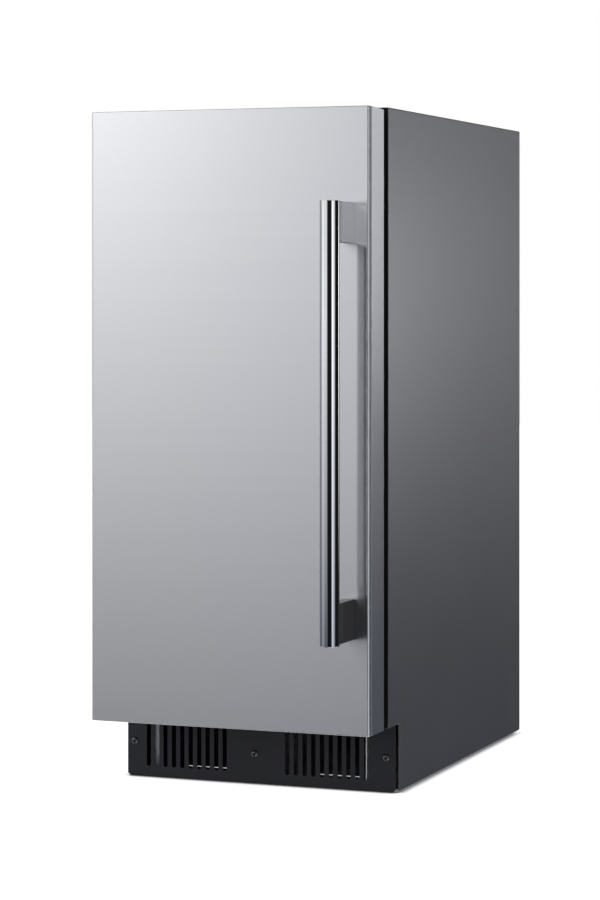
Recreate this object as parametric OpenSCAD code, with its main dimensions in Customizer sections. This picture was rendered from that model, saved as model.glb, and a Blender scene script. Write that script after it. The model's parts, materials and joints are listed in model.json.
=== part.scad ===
// Undercounter ice maker, 15 inches wide, with its door hinged on the left.
// Z is up, the front faces -Y, and the origin is on the floor in the middle of the whole machine.

/* [Cabinet] */
// Width of the cabinet and of the door
body_w = 378; // [374:1:384]
// Height from the floor to the top of the cabinet
body_h = 867; // [860:1:890]
// Depth of the cabinet from its front edge to its back edge
cab_d = 560; // [550:1:580]
// Thickness of the sheet steel shell
shell_t = 1; // [0.8:0.1:1.2]
// Height of the toe space under the door
toe_h = 88; // [84:1:92]
// How far the toe kick stands back from the cabinet's front edge
toe_d = 38; // [34:1:44]
// Gap under the cabinet with the levelling legs screwed right in
foot_h = 2.5; // [2.5:0.5:8]

/* [Door] */
// Thickness of the door without its gasket
door_t = 55; // [50:1:58]
// Gap between the door and the cabinet, which the gasket fills
door_gap = 15; // [14:1:18]
// How far the door's top edge is below the top of the cabinet
door_drop = 2; // [2:0.5:4]
// Depth of the front panel's folded edge
fold_d = 9.5; // [8:0.5:12]
// Radius of the front panel's upright edges
fold_r = 2.5; // [1.5:0.5:4]

/* [Handle] */
// Diameter of the bar
bar_d = 24; // [18:1:26]
// Length of the bar
bar_len = 540; // [400:10:600]
// Distance from the door's face to the bar's centre line
bar_reach = 65; // [50:1:70]
// Distance from the middle of the door to the bar's centre line
bar_x = 162; // [150:1:165]
// Width of a post, across the door
post_w = 15; // [10:1:18]
// Height of a post
post_h = 50; // [30:1:60]
// How far a post stands in from the bar's end
post_inset = 0.5; // [0:0.5:10]

/* [Toe kick] */
// Width of a vent slot
slot_w = 6; // [4:0.5:7]
// Distance from one slot to the next
slot_pitch = 12; // [10:0.5:12]
// Slots in each of the two groups
slot_count = 10; // [6:1:10]
// Distance from the middle of the machine to the nearest slot on its left
left_start = 50.5; // [46:0.5:52]
// Distance from the middle of the machine to the nearest slot on its right
right_start = 37; // [34:0.5:42]
// Height of the bottom of the slots
slot_low = 14; // [13.5:0.5:20]
// Height of the top of the slots
slot_high = 79; // [70:1:80]

/* [Insulated box] */
// Inside width of the liner
liner_w = 302; // [290:1:306]
// Height of the ice bin's floor
liner_low = 262; // [260:1:270]
// Height of the liner's ceiling
liner_high = 832; // [828:1:834]
// Inside depth of the liner, from the cabinet's front edge
liner_d = 496; // [490:1:500]

/* [Hidden] */
$fn = 48;

steel = "#b9babd";
dark_steel = "#6f7278";
galvanised = "#a7abad";
black = "#1c1c1e";
white = "#e9ebec";
grey = "#8c9094";
copper = "#b5703f";
foam = "#e8d9a8";
zinc = "#c8cbcd";

// Planes from front to back
y_back = (bar_reach + bar_d / 2 + door_t + door_gap + cab_d) / 2;
y_cab = y_back - cab_d;
y_door_back = y_cab - door_gap;
y_door = y_door_back - door_t;
y_bar = y_door - bar_reach;
y_kick = y_cab + toe_d;
y_seam = y_door + fold_d + 0.8;
z_door = toe_h;
z_door_top = body_h - door_drop;
half_w = body_w / 2;
inner_w = half_w - shell_t;
clear = 0.3;

// Front frame, liner and foam
frame_t = 3;
y_frame = y_cab + clear;
y_flange = y_cab + frame_t;
liner_t = 2;
liner_x = liner_w / 2;
y_liner_back = y_cab + liner_d;
y_foam = y_flange + liner_t;
y_foam_back = y_back - shell_t;
deck_t = 1.2;
z_foam = liner_low - 22;
z_deck = z_foam - deck_t;
chase = [[80, 130], [300, 345]];
window_z = [628, 662];

// Rear cover, set into the cabinet so that the fittings stay inside the outline
cover_recess = 25;
y_cover = y_back - cover_recess - shell_t;

// Door hinge
hinge_x = -half_w + 12;
hinge_y = y_door_back - 27;
hinge_w = 20;
hinge_t = 4;
pin_r = 4;
pin_len = 24;
run_fit = 0.05;
bush_r = 6.5;
cap_t = 7;
hinge_gap = 1.5;
z_top_arm = z_door_top - hinge_gap - hinge_t;
z_low_arm = z_door + hinge_gap;
hinge_back = y_cab + 56;
recess_x = hinge_x + 17;

// Gasket and door liner
gasket_x = 176;
gasket_w = 12;
door_liner_x = 171.5;
dyke_x = 138;
dyke_d = 21.5;

// Toe kick and base pan
kick_x = [-half_w + 0.4, half_w - 3.7];
kick_low = 0.5;
kick_t = 1.2;
kick_clip = 4;
pan_t = 1.5;
y_pan = y_kick + kick_t + clear;
pan_x = inner_w - 0.2;
pan_lip = 13.5;
pan_side = 25;
screw_r = 2;
screw_head_r = 4.8;
screw_head_h = 2.6;
kick_screws = [[-178.5, 46.5], [-8.5, 39], [172.5, 44.5]];

// Levelling legs
leg_x = 160;
leg_front_y = y_kick + 32;
leg_rear_y = y_back - 44;
leg_r = 5;
leg_stem = 40;
pad_r = 16;
boss_h = 12;

// Ice making parts inside the liner
evap_x = 120;
evap_z = [570, 780];
evap_y = y_cab + 306.5;
rib_d = 10;
frame_x = 122;
frame_plate_t = 4;
pivot_y = evap_y - 34.75;
pivot_z = 786;
curtain_t = 2.5;
trough_y = [evap_y - 42, evap_y + 72];
trough_z = [500, 548];
trough_x = 120;
trough_t = 2.5;
pump_x = 80;
pump_y = evap_y + 42;
volute_r = 22;
shaft_r = 2;

// Control panel
panel_x = 148;
y_panel = y_cab + 46.5;
panel_d = 60;
panel_z = [790, 831.5];
panel_t = 2.5;
button_r = 6;
button_z = 811;
power_x = 62;
clean_x = 92;
window_x = 32;

// Ice retainer, scoop and its holder
retainer_y = y_cab + 58.5;
retainer_t = 5;
retainer_x = 148;
retainer_h = 138;
holder_z = 440;
holder_y = [y_cab + 158.5, y_cab + 261.5];
scoop_x = [-143, -83];

// Machine compartment
cond_x = [-146, 6];
cond_y = [y_kick + 28.5, y_kick + 72.5];
cond_z = 200;
fan_x = -70;
fan_z = 108;
fan_r = 72;
y_fan = y_kick + 88.5;
comp_x = -70;
comp_y = 150;
comp_r = 75;
comp_foot_z = 22;
comp_top = 190;
baffle_x = 20;
inlet_x = 120;
inlet_z = 150;
inlet_r = 13.2;
drain_x = 60;
drain_y = 240;
drain_r = 8;
drain_z = 40;
gland_x = -120;
gland_z = 64;
gland_bore_r = 3.75;

// ---------- helpers ----------

// A box given by its two limits on each axis.
module box(x, y, z) {
    translate([x[0], y[0], z[0]]) cube([x[1] - x[0], y[1] - y[0], z[1] - z[0]]);
}

// A cylinder along X, Y or Z between two limits.
module rod_x(x, y, z, r) {
    translate([x[0], y, z]) rotate([0, 90, 0]) cylinder(h = x[1] - x[0], r = r);
}

module rod_y(x, y, z, r) {
    translate([x, y[1], z]) rotate([90, 0, 0]) cylinder(h = y[1] - y[0], r = r);
}

module rod_z(x, y, z, r) {
    translate([x, y, z[0]]) cylinder(h = z[1] - z[0], r = r);
}

// The children, and their mirror image on the other side.
module both_sides() {
    children();
    mirror([1, 0, 0]) children();
}

function unit(v) = v / norm(v);

// A route whose corners are blended over a distance r each way.
function blended(p, r, steps = 4) = concat(
    [p[0]],
    [for (i = [1:len(p) - 2], k = [0:steps])
        let (
            a = p[i] + r * unit(p[i - 1] - p[i]),
            b = p[i] + r * unit(p[i + 1] - p[i]),
            s = k / steps
        )
        (1 - s) * (1 - s) * a + 2 * s * (1 - s) * p[i] + s * s * b],
    [p[len(p) - 1]]
);

function heading(p, i) = unit(p[min(i + 1, len(p) - 1)] - p[max(i - 1, 0)]);

// A vector across the route at each point, carried along it without twist.
function across(p, i = 0, last = undef) =
    let (
        t = heading(p, i),
        seed = is_undef(last) ? (abs(t[2]) < 0.9 ? [0, 0, 1] : [1, 0, 0]) : last,
        side = unit(seed - (seed * t) * t)
    )
    i == len(p) - 1 ? [side] : concat([side], across(p, i + 1, side));

// A round bar swept along a route.
module pipe(p, r, sides = 8) {
    side = across(p);
    last = (len(p) - 1) * sides;
    polyhedron(
        points = [for (i = [0:len(p) - 1], k = [0:sides - 1])
            let (v = cross(heading(p, i), side[i]), a = 360 * k / sides)
            p[i] + r * (cos(a) * side[i] + sin(a) * v)],
        faces = concat(
            [[for (k = [0:sides - 1]) k]],
            [[for (k = [0:sides - 1]) last + sides - 1 - k]],
            [for (i = [0:len(p) - 2], k = [0:sides - 1])
                [i * sides + k, (i + 1) * sides + k,
                 (i + 1) * sides + (k + 1) % sides, i * sides + (k + 1) % sides]]
        )
    );
}

// A pan-head screw along -Y with a cross recess, its head's underside at the origin.
module pan_screw(length) {
    recess = 1;
    difference() {
        union() {
            rod_y(0, [-screw_head_h, 0], 0, screw_head_r);
            rod_y(0, [0, length], 0, screw_r);
        }
        box([-recess / 2, recess / 2], [-screw_head_h - 1, -screw_head_h + 1.4], [-2.6, 2.6]);
        box([-2.6, 2.6], [-screw_head_h - 1, -screw_head_h + 1.4], [-recess / 2, recess / 2]);
    }
}

// ---------- cabinet shell ----------

// A side sheet with its toe notch and the flange that the front frame covers.
module side_panel() {
    flange = 16;
    translate([inner_w, 0, 0]) rotate([90, 0, 90]) linear_extrude(shell_t)
        polygon([
            [y_cab, toe_h + 0.1], [y_pan, toe_h + 0.1], [y_pan, foot_h], [y_back, foot_h],
            [y_back, body_h - shell_t], [y_cab, body_h - shell_t]
        ]);
    difference() {
        box([inner_w - flange, inner_w], [y_flange, y_flange + shell_t], [toe_h + 1, body_h - 20]);
        hinge_pockets();
        mirror([1, 0, 0]) hinge_pockets();
    }
}

module side_panel_left() {
    color(dark_steel) mirror([1, 0, 0]) side_panel();
}

module side_panel_right() {
    color(dark_steel) side_panel();
}

// The room that both hinge arms take inside the cabinet.
module hinge_pockets() {
    x = [-inner_w, hinge_x + hinge_w / 2 + 1];
    box(x, [y_cab - 1, hinge_back + 1], [z_top_arm - 3.2, body_h - shell_t]);
    box(x, [y_cab - 1, hinge_back + 1], [z_low_arm - 0.5, z_low_arm + hinge_t + 0.5]);
}

module top_panel() {
    flange = 14;
    z = body_h - shell_t;
    color(dark_steel) {
        box([-half_w, half_w], [y_cab, y_back], [z, body_h]);
        difference() {
            box([-inner_w + 0.5, inner_w - 0.5], [y_flange, y_flange + shell_t], [z - flange, z]);
            hinge_pockets();
        }
    }
}

module back_panel() {
    color(galvanised)
        box([-inner_w, inner_w], [y_foam_back, y_back], [z_deck, body_h - shell_t]);
}

// Lower rear cover with vent slots and holes for the water, drain and power fittings.
module rear_cover() {
    vent = [60, 4];
    color(galvanised) difference() {
        box([-inner_w, inner_w], [y_cover, y_cover + shell_t], [foot_h + pan_t, z_deck]);
        for (row = [0:7], x = [-150, -75])
            box([x, x + vent[0]], [y_cover - 1, y_cover + 2], [120 + row * 12, 120 + row * 12 + vent[1]]);
        rod_y(inlet_x, [y_cover - 1, y_cover + 2], inlet_z, inlet_r + 1);
        rod_y(drain_x, [y_cover - 1, y_cover + 2], drain_z, drain_r + 1);
        rod_y(gland_x, [y_cover - 1, y_cover + 2], gland_z, 8.2);
    }
}

// Galvanised tray under the machine, with tabs for the toe kick and bosses for the legs.
module base_pan() {
    tab_w = 16;
    color(galvanised) difference() {
        union() {
            box([-pan_x, pan_x], [y_pan, y_cover - clear], [foot_h, foot_h + pan_t]);
            box([-pan_x, pan_x], [y_pan, y_pan + pan_t], [foot_h, foot_h + pan_lip]);
            both_sides()
                box([pan_x - pan_t, pan_x], [y_pan, y_cover - clear], [foot_h, foot_h + pan_side]);
            for (s = kick_screws)
                box([s[0] - tab_w / 2, s[0] + tab_w / 2], [y_pan, y_pan + pan_t], [foot_h, s[1] + 10]);
            for (x = [-leg_x, leg_x], y = [leg_front_y, leg_rear_y])
                rod_z(x, y, [foot_h, foot_h + boss_h], leg_r + 5);
        }
        for (x = [-leg_x, leg_x], y = [leg_front_y, leg_rear_y])
            rod_z(x, y, [foot_h - 1, foot_h + boss_h + 1], leg_r + run_fit);
        for (s = kick_screws)
            rod_y(s[0], [y_pan - 1, y_pan + pan_t + 1], s[1], screw_r + run_fit);
    }
}

// Black collar round the mouth of the liner, with its deep rail over the machine compartment.
module front_frame() {
    color(black) difference() {
        box([-inner_w + 0.2, inner_w - 0.2], [y_frame, y_flange], [toe_h + 0.5, body_h - shell_t - 0.2]);
        box([-liner_x, liner_x], [y_frame - 1, y_flange + 1], [liner_low, liner_high]);
        hinge_pockets();
    }
}

// Steel floor under the foam, with holes for the pipes and the drain.
module machine_deck() {
    color(galvanised) difference() {
        box([-inner_w, inner_w], [y_foam, y_foam_back], [z_deck, z_foam]);
        box(chase[0], chase[1], [z_deck - 1, z_foam + 1]);
        rod_z(drain_x, drain_y, [z_deck - 1, z_foam + 1], drain_r + 2);
    }
}

module cabinet_foam() {
    color(foam) difference() {
        box([-inner_w, inner_w], [y_foam, y_foam_back], [z_foam, body_h - shell_t]);
        box([-liner_x - liner_t, liner_x + liner_t], [y_foam - 1, y_liner_back + liner_t],
            [liner_low - liner_t, liner_high + liner_t]);
        box(chase[0], chase[1], [z_foam - 1, window_z[1]]);
        box([chase[0][0] + 2, chase[0][1]], [y_liner_back, chase[1][0] + 1], window_z);
        rod_z(drain_x, drain_y, [z_foam - 1, liner_low], drain_r + 2);
        hinge_pockets();
    }
}

// Food-safe inner box, with the moulded grooves that hold the ice retainer.
module liner() {
    flange = 18;
    groove = retainer_t + 1;
    rib = 3;
    color(white) difference() {
        union() {
            box([-liner_x - liner_t, liner_x + liner_t], [y_flange, y_liner_back + liner_t],
                [liner_low - liner_t, liner_high + liner_t]);
            box([-liner_x - flange, liner_x + flange], [y_flange, y_foam],
                [liner_low - flange, liner_high + flange]);
        }
        difference() {
            box([-liner_x, liner_x], [y_flange - 1, y_liner_back], [liner_low, liner_high]);
            both_sides() for (y = [retainer_y - groove / 2 - rib, retainer_y + groove / 2])
                box([retainer_x - 7, liner_x + 1], [y, y + rib], [liner_low - 1, liner_low + 145]);
        }
        box([chase[0][0] + 2, chase[0][1]], [y_liner_back - 1, y_liner_back + liner_t + 1], window_z);
        rod_z(drain_x, drain_y, [liner_low - liner_t - 1, liner_low + 1], drain_r + 2);
    }
}

// Toe kick with two groups of vent slots, clipped corners and a folded top edge.
module kick_plate() {
    color(black) {
        difference() {
            translate([0, y_kick + kick_t, 0]) rotate([90, 0, 0]) linear_extrude(kick_t)
                polygon([
                    [kick_x[0] + kick_clip, kick_low], [kick_x[1] - kick_clip, kick_low],
                    [kick_x[1], kick_low + kick_clip], [kick_x[1], toe_h],
                    [kick_x[0], toe_h], [kick_x[0], kick_low + kick_clip]
                ]);
            for (i = [0:slot_count - 1]) {
                vent_slot(-left_start - i * slot_pitch);
                vent_slot(right_start + i * slot_pitch);
            }
            for (s = kick_screws) rod_y(s[0], [y_kick - 1, y_kick + kick_t + 1], s[1], screw_r + run_fit);
        }
        box([-inner_w + 1, kick_x[1]], [y_flange, y_kick + kick_t], [toe_h - kick_t, toe_h]);
    }
}

module vent_slot(x) {
    r = slot_w / 2;
    y = [y_kick - 1, y_kick + kick_t + 1];
    box([x - r, x + r], y, [slot_low + r, slot_high - r]);
    rod_y(x, y, slot_low + r, r);
    rod_y(x, y, slot_high - r, r);
}

// Black screws: three in the toe kick and two in each hinge.
module case_screws() {
    color(black) {
        for (s = kick_screws) translate([s[0], y_kick, s[1]]) pan_screw(7);
        for (y = hinge_screw_y) {
            translate([hinge_x, y, z_top_arm]) rotate([90, 0, 0]) pan_screw(hinge_t + 2.5);
            translate([-inner_w + 3, y, z_low_arm + 34]) rotate([0, 0, 90]) pan_screw(3);
        }
    }
}

hinge_screw_y = [y_cab + 22, y_cab + 42];

// ---------- hinges ----------

// A flat arm that runs from the cabinet to its pin, rounded at the pin.
module hinge_arm(z) {
    r = hinge_w / 2;
    rod_z(hinge_x, hinge_y, [z, z + hinge_t], r);
    box([hinge_x - r, hinge_x + r], [hinge_y, hinge_back], [z, z + hinge_t]);
}

module top_hinge() {
    color(black) difference() {
        union() {
            hinge_arm(z_top_arm);
            rod_z(hinge_x, hinge_y, [z_top_arm - pin_len, z_top_arm], pin_r);
        }
        for (y = hinge_screw_y) rod_z(hinge_x, y, [z_top_arm - 1, z_top_arm + hinge_t + 1], screw_r);
    }
}

module bottom_hinge() {
    color(black) difference() {
        union() {
            hinge_arm(z_low_arm);
            rod_z(hinge_x, hinge_y, [z_low_arm, z_low_arm + hinge_t + pin_len], pin_r);
            box([-inner_w, -inner_w + 3], [y_cab + 12, hinge_back], [z_low_arm + hinge_t, z_low_arm + 50]);
        }
        for (y = hinge_screw_y) rod_x([-inner_w - 1, -inner_w + 4], y, z_low_arm + 34, screw_r);
    }
}

// ---------- door ----------

// Plan of the front panel, with its two upright edges rounded.
function panel_plan(inset) =
    let (r = fold_r - inset, x = half_w - fold_r, y = y_door + fold_r)
    concat(
        [for (a = [0:15:90]) [-x - r * cos(a), y - r * sin(a)]],
        [for (a = [90:-15:0]) [x + r * cos(a), y - r * sin(a)]],
        [[half_w - inset, y_door + fold_d], [-half_w + inset, y_door + fold_d]]
    );

module door_front_panel() {
    color(steel) difference() {
        translate([0, 0, z_door]) linear_extrude(z_door_top - z_door) polygon(panel_plan(0));
        difference() {
            translate([0, 0, z_door + shell_t])
                linear_extrude(z_door_top - z_door - 2 * shell_t) polygon(panel_plan(shell_t));
            box([-half_w, half_w], [y_door - 1, y_door + shell_t], [z_door, z_door_top]);
        }
        box([-half_w + shell_t, half_w - shell_t], [y_door + fold_d - 0.5, y_door + fold_d + 1],
            [z_door + shell_t, z_door_top - shell_t]);
        for (z = post_z) rod_y(bar_x, [y_door - 1, y_door + 2], z, handle_screw_r + run_fit);
    }
}

// Room round the hinge side of the door's ends, where the arms swing.
module arm_room() {
    x = [-half_w - 1, recess_x];
    y = [y_seam - 1, y_door_back + 1];
    box(x, y, [z_door_top - cap_t, z_door_top + 1]);
    box(x, y, [z_door - 1, z_door + cap_t]);
}

// Channels that close the two sides of the door behind the front panel's fold.
module door_side_trims() {
    x = half_w - 0.2;
    lip = 16;
    color(steel) difference() {
        both_sides() {
            box([x - shell_t, x], [y_seam, y_door_back], [z_door, z_door_top]);
            box([x - lip, x], [y_door_back - shell_t, y_door_back], [z_door, z_door_top]);
        }
        arm_room();
    }
}

// Moulded caps on the top and bottom of the door, stepped down where a hinge arm swings.
module door_end_caps() {
    x = half_w - shell_t - 0.5;
    y = [y_seam, y_door_back - shell_t - 0.1];
    step = [-x, recess_x + cap_t];
    color(black) difference() {
        union() {
            box([recess_x, x], y, [z_door_top - cap_t, z_door_top - 0.5]);
            box(step, y, [z_door_top - 2 * cap_t, z_door_top - cap_t]);
            box([recess_x, x], y, [z_door + 0.5, z_door + cap_t]);
            box(step, y, [z_door + cap_t, z_door + 2 * cap_t]);
        }
        rod_z(hinge_x, hinge_y, [z_door - 1, z_door_top + 1], bush_r);
    }
}

// Two flanged bushes that the hinge pins turn in.
module hinge_bushes() {
    color(white) {
        hinge_bush();
        translate([0, 0, z_door + z_door_top]) mirror([0, 0, 1]) hinge_bush();
    }
}

module hinge_bush() {
    z = z_door + cap_t;
    difference() {
        rod_z(hinge_x, hinge_y, [z - 0.8, z + cap_t + 6], bush_r);
        rod_z(hinge_x, hinge_y, [z - 2, z + cap_t + 7], pin_r + run_fit);
    }
}

module door_foam() {
    x = half_w - 3;
    color(foam) difference() {
        box([-x, x], [y_door + shell_t, y_door_back - liner_t], [z_door + 2 * cap_t, z_door_top - 2 * cap_t]);
        for (z = [z_door, z_door_top - 45]) rod_z(hinge_x, hinge_y, [z, z + 45], bush_r + 1);
        for (z = post_z) rod_y(bar_x, [y_door, y_door + 6], z, 6);
    }
}

// Inner panel with a raised, hollowed pad that reaches into the mouth of the liner.
module door_liner() {
    z = [z_door + 2 * cap_t + 1, z_door_top - 2 * cap_t - 1];
    color(white) difference() {
        union() {
            box([-door_liner_x, door_liner_x], [y_door_back - liner_t, y_door_back], z);
            box([-dyke_x, dyke_x], [y_door_back, y_door_back + dyke_d], [liner_low + 14, liner_high - 14]);
        }
        box([-dyke_x + 18, dyke_x - 18], [y_door_back + 3, y_door_back + dyke_d + 1],
            [liner_low + 34, liner_high - 34]);
    }
}

// Soft seal all round the inside of the door.
module door_gasket() {
    z = [z_door + 12, z_door_top - 8];
    y = [y_door_back, y_frame - 0.4];
    color(black) difference() {
        box([-gasket_x, gasket_x], y, z);
        box([-gasket_x + gasket_w, gasket_x - gasket_w], [y[0] - 1, y[1] + 1],
            [z[0] + gasket_w, z[1] - gasket_w]);
    }
}

// ---------- handle ----------

bar_z = (z_door + z_door_top) / 2;
post_z = [for (s = [-1, 1]) bar_z + s * (bar_len / 2 - post_inset - post_h / 2)];
handle_screw_r = 3;

module handle_bar() {
    edge = 1;
    r = bar_d / 2;
    color(steel) translate([bar_x, y_bar, bar_z - bar_len / 2]) rotate_extrude()
        polygon([
            [0, 0], [r - edge, 0], [r, edge], [r, bar_len - edge], [r - edge, bar_len], [0, bar_len]
        ]);
}

module handle_posts() {
    color(steel) for (z = post_z) difference() {
        box([bar_x - post_w / 2, bar_x + post_w / 2], [y_bar, y_door], [z - post_h / 2, z + post_h / 2]);
        rod_z(bar_x, y_bar, [z - post_h, z + post_h], bar_d / 2);
        rod_y(bar_x, [y_door - 20, y_door + 1], z, handle_screw_r + run_fit);
    }
}

module handle_screws() {
    color(zinc) for (z = post_z) {
        rod_y(bar_x, [y_door - 18, y_door + shell_t], z, handle_screw_r);
        rod_y(bar_x, [y_door + shell_t, y_door + shell_t + 4], z, 5.5);
    }
}

// ---------- controls and light ----------

// Hollow housing under the liner's ceiling, open at the top.
module control_panel() {
    x = [-panel_x, panel_x];
    y = [y_panel, y_panel + panel_d];
    color(black) difference() {
        box(x, y, panel_z);
        box([x[0] + panel_t, x[1] - panel_t], [y[0] + panel_t, y[1] - panel_t],
            [panel_z[0] + panel_t, panel_z[1] + 1]);
        box([-window_x, window_x], [y[0] - 1, y[0] + panel_t + 1], [button_z - 11, button_z + 11]);
        for (bx = [power_x, clean_x])
            rod_y(bx, [y[0] - 1, y[0] + panel_t + 1], button_z, button_r + 2 * run_fit);
    }
}

module display_window() {
    color("#30343a") box([-window_x + 0.2, window_x - 0.2], [y_panel, y_panel + 2],
        [button_z - 10.8, button_z + 10.8]);
}

// A round key: its cap in the panel's hole and the flange that keeps it there.
module button(x) {
    color(grey) {
        rod_y(x, [y_panel - 2, y_panel + panel_t + 2], button_z, button_r);
        rod_y(x, [y_panel + panel_t + clear, y_panel + panel_t + 2], button_z, button_r + 1.5);
    }
}

module power_button() {
    button(power_x);
}

module clean_button() {
    button(clean_x);
}

module light_lens() {
    color(white) box([-60, 60], [y_panel + panel_d + 5, y_panel + panel_d + 40],
        [liner_high - 5, liner_high]);
}

// ---------- ice making ----------

// Upright plate with ribs, on which water freezes in columns of ice.
module evaporator_plate() {
    rib_step = 26;
    color(zinc) {
        box([-evap_x, evap_x], [evap_y, evap_y + 3], evap_z);
        for (i = [-4:4])
            box([i * rib_step - 1, i * rib_step + 1], [evap_y - rib_d, evap_y], evap_z);
    }
}

// Copper coil that snakes across the back of the plate.
coil_r = 4.5;
coil_runs = 8;
coil_step = 24;
coil_x = 105;
function coil_route() =
    [for (i = [0:coil_runs - 1], end = [0, 1])
        [(i % 2 == end ? -1 : 1) * coil_x, evap_y + 3 + coil_r, evap_z[0] + 20 + i * coil_step]];

module evaporator_coil() {
    color(copper) pipe(blended(coil_route(), 11, 3), coil_r);
}

// Two side plates that carry the plate, the trough and the curtain's pivots.
module evaporator_frame() {
    color(white) both_sides() difference() {
        box([frame_x, frame_x + frame_plate_t], [trough_y[0], y_liner_back], [trough_z[0] - 4, 802]);
        rod_x([frame_x - 1, frame_x + frame_plate_t + 1], pivot_y, pivot_z, 3 + run_fit);
    }
}

module water_distributor() {
    color(white) rod_x([-frame_x, frame_x], evap_y - 5, 794, 9);
}

// Open tray that catches the water and feeds the pump.
module water_trough() {
    t = trough_t;
    color(white) difference() {
        box([-trough_x, trough_x], trough_y, trough_z);
        box([-trough_x + t, trough_x - t], [trough_y[0] + t, trough_y[1] - t],
            [trough_z[0] + t, trough_z[1] + 1]);
    }
}

// Motor over the trough, its stand-pipe and the volute that stands in the water.
module pump_motor() {
    floor_z = trough_z[0] + trough_t;
    color(grey) difference() {
        union() {
            rod_z(pump_x, pump_y, [floor_z, floor_z + 22], volute_r);
            rod_z(pump_x, pump_y, [floor_z + 22, 562], 8);
            rod_z(pump_x, pump_y, [560, 610], 20);
        }
        rod_z(pump_x, pump_y, [floor_z + 4, floor_z + 18], 17);
        rod_z(pump_x, pump_y, [floor_z - 1, floor_z + 5], 8);
        rod_z(pump_x, pump_y, [floor_z + 17, 580], shaft_r + run_fit);
    }
}

// Impeller with straight vanes on its long shaft.
module pump_impeller() {
    z = trough_z[0] + trough_t + 6;
    color(black) {
        rod_z(pump_x, pump_y, [z, z + 2], 14);
        rod_z(pump_x, pump_y, [z + 2, z + 10], 4.5);
        rod_z(pump_x, pump_y, [z + 10, 578], shaft_r);
        for (a = [0:60:300])
            translate([pump_x, pump_y, z + 2]) rotate([0, 0, a])
                translate([4, -0.8, 0]) cube([9.5, 1.6, 7]);
    }
}

// Clear sheet that hangs in front of the plate and swings out when the ice drops.
module water_curtain() {
    color("#bcd3e0") {
        box([-frame_x + 2.5, frame_x - 2.5], [pivot_y - curtain_t / 2, pivot_y + curtain_t / 2],
            [575, pivot_z]);
        rod_x([-frame_x + 2.5, frame_x - 2.5], pivot_y, pivot_z, 5);
        rod_x([-frame_x - frame_plate_t, frame_x + frame_plate_t], pivot_y, pivot_z, 3);
    }
}

// Probe on the wall of the bin that stops the machine when ice reaches it.
module ice_level_sensor() {
    y = y_cab + 206.5;
    color(copper) {
        rod_y(liner_x - 8, [y - 40, y + 40], 445, 4);
        for (s = [-25, 25]) box([liner_x - 6, liner_x], [y + s - 4, y + s + 4], [439, 451]);
    }
}

// Panel that keeps the ice back; it lifts out of the grooves in the liner.
module ice_retainer() {
    y = [retainer_y - retainer_t / 2, retainer_y + retainer_t / 2];
    z = [liner_low + clear, liner_low + retainer_h];
    color(white) difference() {
        box([-retainer_x, retainer_x], y, z);
        box([-45, 45], [y[0] - 1, y[1] + 1], [z[1] - 14, z[1] + 1]);
        for (x = [-45, 45]) rod_y(x, [y[0] - 1, y[1] + 1], z[1], 14);
    }
}

// Wall shelf with a lip at each open side, where the scoop is kept.
module scoop_holder() {
    t = 3;
    color(white) {
        box([-liner_x, -liner_x + t], holder_y, [holder_z, holder_z + 55]);
        box([-liner_x, -76], holder_y, [holder_z, holder_z + t]);
        box([-76 - t, -76], holder_y, [holder_z, holder_z + 14]);
        box([-liner_x, -76], [holder_y[1] - t, holder_y[1]], [holder_z, holder_z + 14]);
    }
}

// Open scoop with a hollow bowl and a straight grip.
module ice_scoop() {
    t = 2;
    y = [holder_y[0] + 4, holder_y[1] - 8];
    z = [holder_z + 3 + clear, holder_z + 48];
    mid_x = (scoop_x[0] + scoop_x[1]) / 2;
    color(zinc) {
        difference() {
            box(scoop_x, y, z);
            box([scoop_x[0] + t, scoop_x[1] - t], [y[0] + t, y[1] + 1], [z[0] + t, z[1] + 1]);
            translate([mid_x, y[1], z[1] + 6]) rotate([0, 90, 0])
                cylinder(h = 2 * half_w, r = 30, center = true);
        }
        rod_y(mid_x, [y[0] - 92, y[0] + 0.5], z[1] - 12, 9);
    }
}

// ---------- drain and water ----------

// The strainer in the bin's floor and the hose tail at the back of the machine.
module drain_fittings() {
    color(grey) {
        difference() {
            union() {
                rod_z(drain_x, drain_y, [liner_low, liner_low + 3], 18);
                rod_z(drain_x, drain_y, [z_deck - 14, liner_low], drain_r + 1.8);
            }
            for (a = [0:45:315])
                rod_z(drain_x + 5 * cos(a), drain_y + 5 * sin(a), [liner_low - 1, liner_low + 4], 1.3);
            rod_z(drain_x, drain_y, [z_deck - 15, liner_low], drain_r - 1);
        }
        difference() {
            union() {
                rod_y(drain_x, [y_cover - 22, y_back - 3], drain_z, drain_r);
                rod_y(drain_x, [y_cover - 6, y_cover], drain_z, drain_r + 4);
            }
            rod_y(drain_x, [y_cover - 12, y_back], drain_z, drain_r - 2);
        }
    }
}

module drain_hose() {
    color(grey) pipe(blended([
        [drain_x, drain_y, z_deck - 14], [drain_x, drain_y, drain_z + 60],
        [drain_x, drain_y, drain_z], [drain_x, y_cover - 22, drain_z]
    ], 28), drain_r);
}

// Inlet valve with its hose thread, stated as a plain cylinder, and its coil.
module water_valve() {
    color(white) difference() {
        union() {
            rod_y(inlet_x, [y_cover - 16, y_back - 6], inlet_z, inlet_r);
            rod_y(inlet_x, [y_cover - 6, y_cover], inlet_z, inlet_r + 4);
            box([inlet_x - 14, inlet_x + 14], [y_cover - 46, y_cover - 16], [inlet_z - 16, inlet_z + 14]);
            rod_z(inlet_x, y_cover - 31, [inlet_z + 14, inlet_z + 52], 13);
        }
        rod_y(inlet_x, [y_cover - 10, y_back], inlet_z, 8);
    }
}

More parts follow.
